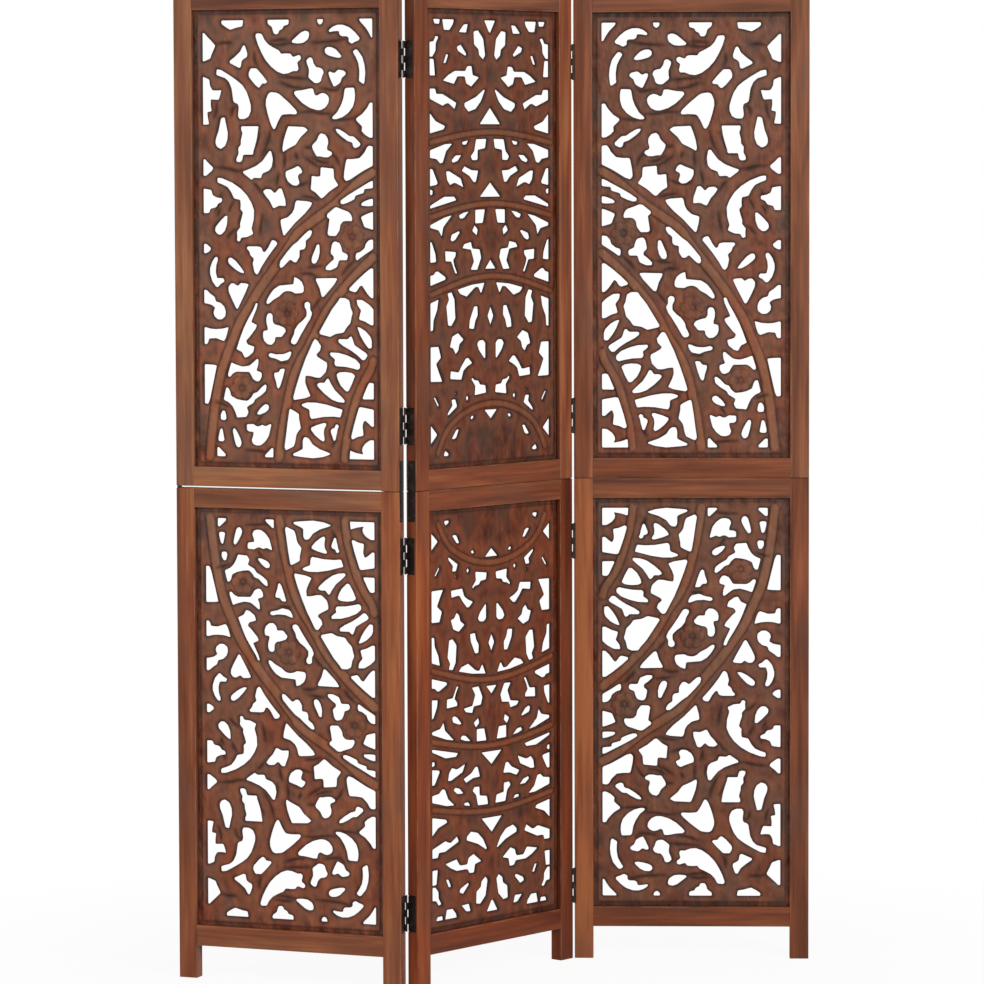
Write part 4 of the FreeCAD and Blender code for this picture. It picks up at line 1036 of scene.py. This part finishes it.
def makeBoard(panel, section):
    node = "%s_%s_carved_board" % (panel, section)
    shades, reds, bevelStainsAndShades = boardLooks[panel + "_" + section]
    extent = localPoints(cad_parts[node].data, panel)
    low, high = extent.min(0)[[0, 2]], extent.max(0)[[0, 2]]
    carving = carvingOf(panel, section)
    points, triangles = boardMesh(low, high, carving)
    height, relief = boardRelief(points, low, high, carving, bevelStainsAndShades)

    # front, back and the walls between them
    middle, count = screen["thickness"] / 2, len(points)
    front = np.stack([points[:, 0], middle - height, points[:, 1]], 1)
    rear = np.stack([points[:, 0], middle + height, points[:, 1]], 1)
    a, b, c = points[triangles[:, 0]], points[triangles[:, 1]], points[triangles[:, 2]]
    turn = (b[:, 0] - a[:, 0]) * (c[:, 1] - a[:, 1]) - (b[:, 1] - a[:, 1]) * (c[:, 0] - a[:, 0])
    triangles = np.where(turn[:, None] > 0, triangles, triangles[:, ::-1])
    faces = [tuple(t) for t in triangles] + [tuple(t + count) for t in triangles[:, ::-1]]
    sides = {(int(t[n]), int(t[(n + 1) % 3])): None for t in triangles for n in range(3)}
    faces += [(j, i, i + count, j + count) for i, j in sides if (j, i) not in sides]
    piece = newPiece(node + "_carving", np.concatenate([front, rear]).tolist(), faces)
    pickOnly(piece)
    bpy.ops.object.shade_smooth_by_angle(angle=math.radians(board["smoothAngle"]))
    spots = np.array([v.co[:] for v in piece.data.vertices])
    writeVectors(piece.data, "grain", (spots + grainShift()) * mm)
    writeVectors(piece.data, "relief", np.concatenate([relief, relief]))
    for name, ends in (("ownShade", shades), ("redness", reds)):
        writeValues(piece.data, name, np.interp(spots[:, 2], (low[1], high[1]), ends[::-1]))
    place(piece, panel)
    piece.data.materials.append(carvedWoodMaterial)
    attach(piece, panel + "_panel")
    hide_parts(node)
    print("board", node, "openings", len(carving["loops"]), "faces", len(faces))


for panel in panelPlaces:
    for section in sections:
        makeBoard(panel, section)

# hinges and seam plates

# curlTurn is in degrees; each screw's place is counted from the leaf's outer edge and from its middle
hinge = {
    "length": 60, "leafWidth": 17, "leafThickness": 1.2, "sink": 1, "lip": .2, "ease": .15,
    "cornerRadius": 1.5,
    "knuckles": 5, "knuckleGap": .3, "barrel": 1.6, "eye": .85, "curlTurn": 335, "curlSteps": 22,
    "flangeStart": .3, "flangeSteps": 5, "fromFloor": 126, "fromSeam": 107, "fromTop": 118,
    "screws": ((-7, -21), (-11, 0), (-7, 21)), "screwRadius": 2.5, "screwRise": .12, "screwSink": .06,
    "sinkRadius": 2.75, "sinkTaper": .4, "sinkDepth": .5,
    "pinRadius": .82, "pinHead": 1.35, "pinHeadHeight": .5, "pinHeadTop": .7, "pinHeadShoulder": .6,
}
plate = {"length": 100, "width": 15, "thickness": 1.9, "sink": .05, "ease": .25, "cornerRadius": 2.5,
         "screws": (-39.5, -16, 16, 39.5), "headRadius": 3.3, "headRise": .34}
head = {"thickness": .6, "ease": .12, "points": 20, "rings": (.62, .82), "ringPoints": 14}
cross = {"arm": 1.25, "halfWidth": .3, "depth": .45, "taper": .8}
steelSmoothAngle = 35
hingeHeights = {
    1: hinge["fromFloor"], 2: screen["sectionHeight"] - hinge["fromSeam"],
    3: screen["sectionHeight"] + hinge["fromSeam"], 4: 2 * screen["sectionHeight"] - hinge["fromTop"],
}


def crossLine(middle, turn):
    arm, half = cross["arm"], cross["halfWidth"]
    points = []
    for quarterTurn in range(4):
        angle = quarterTurn * math.pi / 2 + turn
        points += [(x * math.cos(angle) - y * math.sin(angle), x * math.sin(angle) + y * math.cos(angle))
                   for x, y in ((half, half), (half, arm), (-half, arm))]
    return np.array(middle) + np.array(points)


def roundedRectangle(left, right, floor, top, radius, steps=4):
    points = []
    for x, y, start in ((right - radius, top - radius, 0), (left + radius, top - radius, 90),
                        (left + radius, floor + radius, 180), (right - radius, floor + radius, 270)):
        for step in range(steps + 1):
            angle = math.radians(start + 90 * step / steps)
            points.append((x + radius * math.cos(angle), y + radius * math.sin(angle)))
    return np.array(points)


def slab(outline, thickness, ease, pockets=(), loose=(), dome=None):
    # A plate with an eased upper edge. Each pocket is its loop in the top, its loop at the floor and its
    # depth; dome gives the top's height at a point. Returns points (across, along, height) and faces.
    inner = outline - outline.mean(0)
    inner = outline.mean(0) + inner * (1 - ease / np.abs(inner).max())
    loops = [inner] + [np.array(top) for top, floor, depth in pockets]
    flat, edges = [], []
    for loop in loops:
        edges += loopEdges(len(flat), len(loop))
        flat.extend(loop)
    flat.extend(loose)
    tops, triangles = triangulated(flat, edges, 1e-5)
    faces = [tuple(t) for t in triangles[~insideLoops(tops[triangles].mean(1), loops[1:])].tolist()]
    heights = dome(tops) if dome else np.zeros(len(tops))
    vertices = [(*p, h) for p, h in zip(tops, heights)]

    def wall(upper, loop, height):
        # from a loop of the vertices down to a new one at the height
        start, count = len(vertices), len(loop)
        vertices.extend((*p, height) for p in loop)
        faces.extend((upper[a], upper[b], start + b, start + a) for a, b in loopEdges(0, count))
        return list(range(start, start + count))

    lower = list(range(len(inner)))
    for height in (-ease, -thickness):
        lower = wall(lower, outline, height)
    faces.append(tuple(lower))
    start = len(inner)
    for top, floor, depth in pockets:
        faces.append(tuple(wall(list(range(start, start + len(top))), floor, -depth)))
        start += len(top)
    return vertices, faces


def curledStrip(floor, top):
    # the leaf's flange, jogged over to the pin and rolled round it, as points (depth, outward, height)
    pinAt = (-screen["edgeGap"] / 2, screen["pinSetback"])
    start, half = hinge["flangeStart"], hinge["leafThickness"] / 2
    middle = hinge["sink"] + half
    curl, curlHalf = (hinge["barrel"] + hinge["eye"]) / 2, (hinge["barrel"] - hinge["eye"]) / 2
    line, halves = [(middle, -start), (middle, start)], [half, half]
    for share in np.linspace(.2, .9, hinge["flangeSteps"]):
        ease = share * share * (3 - 2 * share)
        line.append((middle + (pinAt[0] + curl - middle) * ease, start + (pinAt[1] - start) * share))
        halves.append(half + (curlHalf - half) * ease)
    for turn in np.radians(np.linspace(0, hinge["curlTurn"], hinge["curlSteps"])):
        line.append((pinAt[0] + curl * math.cos(turn), pinAt[1] + curl * math.sin(turn)))
        halves.append(curlHalf)
    line, halves = np.array(line), np.array(halves)[:, None]
    normals = lineNormals(line, False)
    rows = [[(*p, z) for p in line + normals * halves * side] for z in (floor, top) for side in (1, -1)]
    count = len(line)
    faces = []
    for n in range(count - 1):
        a, b, c, d = (row * count + n for row in range(4))
        faces += [(a, a + 1, b + 1, b), (c, d, d + 1, c + 1), (a, c, c + 1, a + 1), (b, b + 1, d + 1, d)]
    last = count - 1
    faces += [(0, count, 3 * count, 2 * count), (last, 2 * count + last, 3 * count + last, count + last)]
    return [p for row in rows for p in row], faces


def lathe(middle, profile, count=16):
    # profile is (radius, height) from the bottom up, closed with a point at both ends
    vertices, faces = [(*middle, profile[0][1])], []
    for radius, height in profile[1:-1]:
        vertices += [(*p, height) for p in circleLine(radius, count, middle)]
    vertices.append((*middle, profile[-1][1]))
    rows = len(profile) - 2
    for n in range(count):
        after = (n + 1) % count
        faces.append((0, 1 + after, 1 + n))
        for row in range(rows - 1):
            start = 1 + row * count
            faces.append((start + n, start + after, start + count + after, start + count + n))
        faces.append((1 + (rows - 1) * count + n, 1 + (rows - 1) * count + after, len(vertices) - 1))
    return vertices, faces


def makeSteel(name, parts, toPanel, panel, node):
    # joins (vertices, faces) parts, places them by toPanel and gives them the black finish
    vertices, faces = [], []
    for points, polygons in parts:
        start = len(vertices)
        vertices += [toPanel(*p) for p in points]
        faces += [tuple(start + n for n in polygon) for polygon in polygons]
    piece = newPiece(name, vertices, faces)
    pickOnly(piece)
    bpy.ops.object.mode_set(mode="EDIT")
    bpy.ops.mesh.select_all(action="SELECT")
    bpy.ops.mesh.normals_make_consistent(inside=False)
    bpy.ops.object.mode_set(mode="OBJECT")
    bpy.ops.object.shade_smooth_by_angle(angle=math.radians(steelSmoothAngle))
    place(piece, panel)
    piece.data.materials.append(blackSteelMaterial)
    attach(piece, panel + "_panel")
    if node:
        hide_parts(node)


def screwHead(middle, radius, rise, turn):
    # a head with a cross recess, its top domed by rise
    def dome(points):
        return rise * np.clip(1 - (np.linalg.norm(points - middle, axis=1) / radius) ** 2, 0, 1) ** .6

    recess = crossLine(middle, turn)
    floor = np.array(middle) + (recess - middle) * cross["taper"]
    rings = [p for share in head["rings"] for p in circleLine(radius * share, head["ringPoints"], middle)]
    return slab(circleLine(radius, head["points"], middle), head["thickness"], head["ease"],
                [(recess, floor, cross["depth"] - rise)], rings, dome)


def makeLeaf(panel, side, number, ownsEnds, withPin):
    node = "%s_%s_hinge_leaf_%d" % (panel, side, number)
    middle, half = hingeHeights[number], hinge["length"] / 2
    atBack = (panel, side) in (("left", "right"), ("centre", "left"))
    screwTurns = shiftDraw.uniform(0, math.pi / 2, len(hinge["screws"]))

    def toPanel(depth, outward, height):
        x = depth if side == "left" else screen["panelWidth"] - depth
        y = screen["thickness"] + outward if atBack else -outward
        return x, y, middle + height

    def flat(outward, height, rise):
        return toPanel(hinge["sink"] + hinge["screwSink"] - rise, outward, height)

    outline = roundedRectangle(-hinge["leafWidth"], hinge["lip"], -half, half, hinge["cornerRadius"])
    pockets = [(circleLine(hinge["sinkRadius"], head["points"], spot),
                circleLine(hinge["screwRadius"] - hinge["sinkTaper"], head["points"], spot),
                hinge["sinkDepth"]) for spot in hinge["screws"]]
    plateVertices, plateFaces = slab(outline, hinge["leafThickness"], hinge["ease"], pockets)
    leafPoints = [(hinge["sink"] - rise, outward, height) for outward, height, rise in plateVertices]
    parts = [(leafPoints, plateFaces)]
    span = hinge["length"] / hinge["knuckles"]
    for knuckle in range(0 if ownsEnds else 1, hinge["knuckles"], 2):
        floor = -half + knuckle * span
        parts.append(curledStrip(floor + hinge["knuckleGap"] / 2, floor + span - hinge["knuckleGap"] / 2))
    makeSteel(node + "_plate", parts, toPanel, panel, node)
    heads = [screwHead(spot, hinge["screwRadius"], hinge["screwRise"], turn)
             for spot, turn in zip(hinge["screws"], screwTurns)]
    makeSteel(node + "_screws", heads, flat, panel, None)
    if withPin:
        cap, rise = hinge["pinHead"], hinge["pinHeadHeight"]
        upper = [(hinge["pinRadius"], half), (cap, half), (cap, half + rise * hinge["pinHeadShoulder"]),
                 (cap * hinge["pinHeadTop"], half + rise), (0, half + rise)]
        profile = [(radius, -height) for radius, height in upper[::-1]] + upper
        pin = lathe((-screen["edgeGap"] / 2, screen["pinSetback"]), profile)
        makeSteel(node.replace("leaf", "pin"), [pin], toPanel, panel, None)


def makeSeamPlate(panel, side):
    node = "%s_%s_seam_plate" % (panel, side)
    seam, half, across = screen["sectionHeight"], plate["length"] / 2, screen["thickness"] / 2
    screwTurns = shiftDraw.uniform(0, math.pi / 2, len(plate["screws"]))

    def toPanel(y, height, rise):
        depth = plate["sink"] - rise
        return depth if side == "left" else screen["panelWidth"] - depth, across + y, seam + height

    width = plate["width"] / 2
    outline = roundedRectangle(-width, width, -half, half, plate["cornerRadius"])
    makeSteel(node + "_strap", [slab(outline, plate["thickness"], plate["ease"])], toPanel, panel, node)
    heads = [screwHead((0, height), plate["headRadius"], plate["headRise"], turn)
             for height, turn in zip(plate["screws"], screwTurns)]
    # the heads start just above the strap, level with the panel's edge
    makeSteel(node + "_screws", heads, lambda y, height, rise: toPanel(y, height, rise + plate["sink"]),
              panel, None)


for number in hingeHeights:
    # the lowest left hinge was fitted the other way up from the rest
    turnedOver = number == 1
    makeLeaf("centre", "left", number, not turnedOver, True)
    makeLeaf("left", "right", number, turnedOver, False)
    makeLeaf("centre", "right", number, True, True)
    makeLeaf("right", "left", number, False, False)
for panel in panelPlaces:
    for side in ("left", "right"):
        makeSeamPlate(panel, side)
print("hinges made: 8, seam plates made: 6")

# studio, in metres: each light's place and power, and over what distance the floor's own glow grows to white
studio = {
    "floorRadius": 12, "floorPoints": 96, "floor": "#f2f1ef", "white": "#ffffff", "glow": (.55, 1.3, .93, 1),
    "world": .4, "lightSize": 1.6, "aim": (0, 0, .85),
    "lights": {"LeftLight": ((-3.3, -2.6, 2.2), 37), "RightLight": ((2.4, -3.5, 2.2), 109),
               "FrontLight": ((0, -3.4, 3.05), 13)},
}


def directRays(tree):
    # 1 for rays that come from the camera, straight, by a reflection or through a surface, otherwise 0
    rays = addNode(tree, "LightPath").outputs
    seen = maths(tree, "MAXIMUM", rays["Is Camera Ray"], rays["Is Glossy Ray"])
    return maths(tree, "MAXIMUM", seen, rays["Is Transmission Ray"])


def makeStudio():
    bpy.ops.object.select_all(action="DESELECT")
    bpy.ops.mesh.primitive_circle_add(vertices=studio["floorPoints"], radius=studio["floorRadius"],
                                      fill_type="NGON", location=(0, 0, 0))
    floor = bpy.context.active_object
    floor.name = "Floor"
    material, tree = newMaterial("MattWhiteStudioFloor")
    spot = addNode(tree, "TexCoord").outputs["Object"]
    away = addNode(tree, "VectorMath", links={0: spot}, operation="LENGTH").outputs["Value"]
    plain = addNode(tree, "BsdfDiffuse", {"Color": colour(studio["floor"])})
    glow = addNode(tree, "Emission", {"Color": colour(studio["white"]), "Strength": 1})
    share = maths(tree, "MULTIPLY", directRays(tree), spread(tree, away, *studio["glow"]))
    shader = addNode(tree, "MixShader", links={0: share, 1: plain.outputs[0], 2: glow.outputs[0]})
    finishMaterial(tree, shader)
    floor.data.materials.append(material)
    world = bpy.data.worlds.new("Studio")
    bpy.context.scene.world = world
    world.use_nodes = True
    tree = world.node_tree
    tree.nodes.clear()
    strength = spread(tree, directRays(tree), 0, 1, studio["world"], 1)
    sky = addNode(tree, "Background", {"Color": colour(studio["white"])}, {"Strength": strength})
    addNode(tree, "OutputWorld", links={"Surface": sky.outputs[0]})
    for name, (spotAt, power) in studio["lights"].items():
        lamp = bpy.data.lights.new(name, "AREA")
        lamp.size, lamp.energy = studio["lightSize"], power
        holder = bpy.data.objects.new(name, lamp)
        holder.location = spotAt
        aim = Vector(studio["aim"]) - Vector(spotAt)
        holder.rotation_euler = aim.to_track_quat("-Z", "Y").to_euler()
        bpy.context.scene.collection.objects.link(holder)


makeStudio()

view = {"place": (-.0054, -7.6891, 1.3855), "tilt": 86.533, "roll": .159, "lens": 168.58, "sensor": 36,
        "rise": -.065}
lens = bpy.data.cameras.new("Camera")
lens.lens, lens.sensor_width, lens.shift_y = view["lens"], view["sensor"], view["rise"]
camera = bpy.data.objects.new("Camera", lens)
camera.location = view["place"]
camera.rotation_euler = (math.radians(view["tilt"]), math.radians(view["roll"]), 0)
bpy.context.scene.collection.objects.link(camera)
bpy.context.scene.camera = camera
bpy.context.scene.view_settings.view_transform = "Standard"
print("studio made")
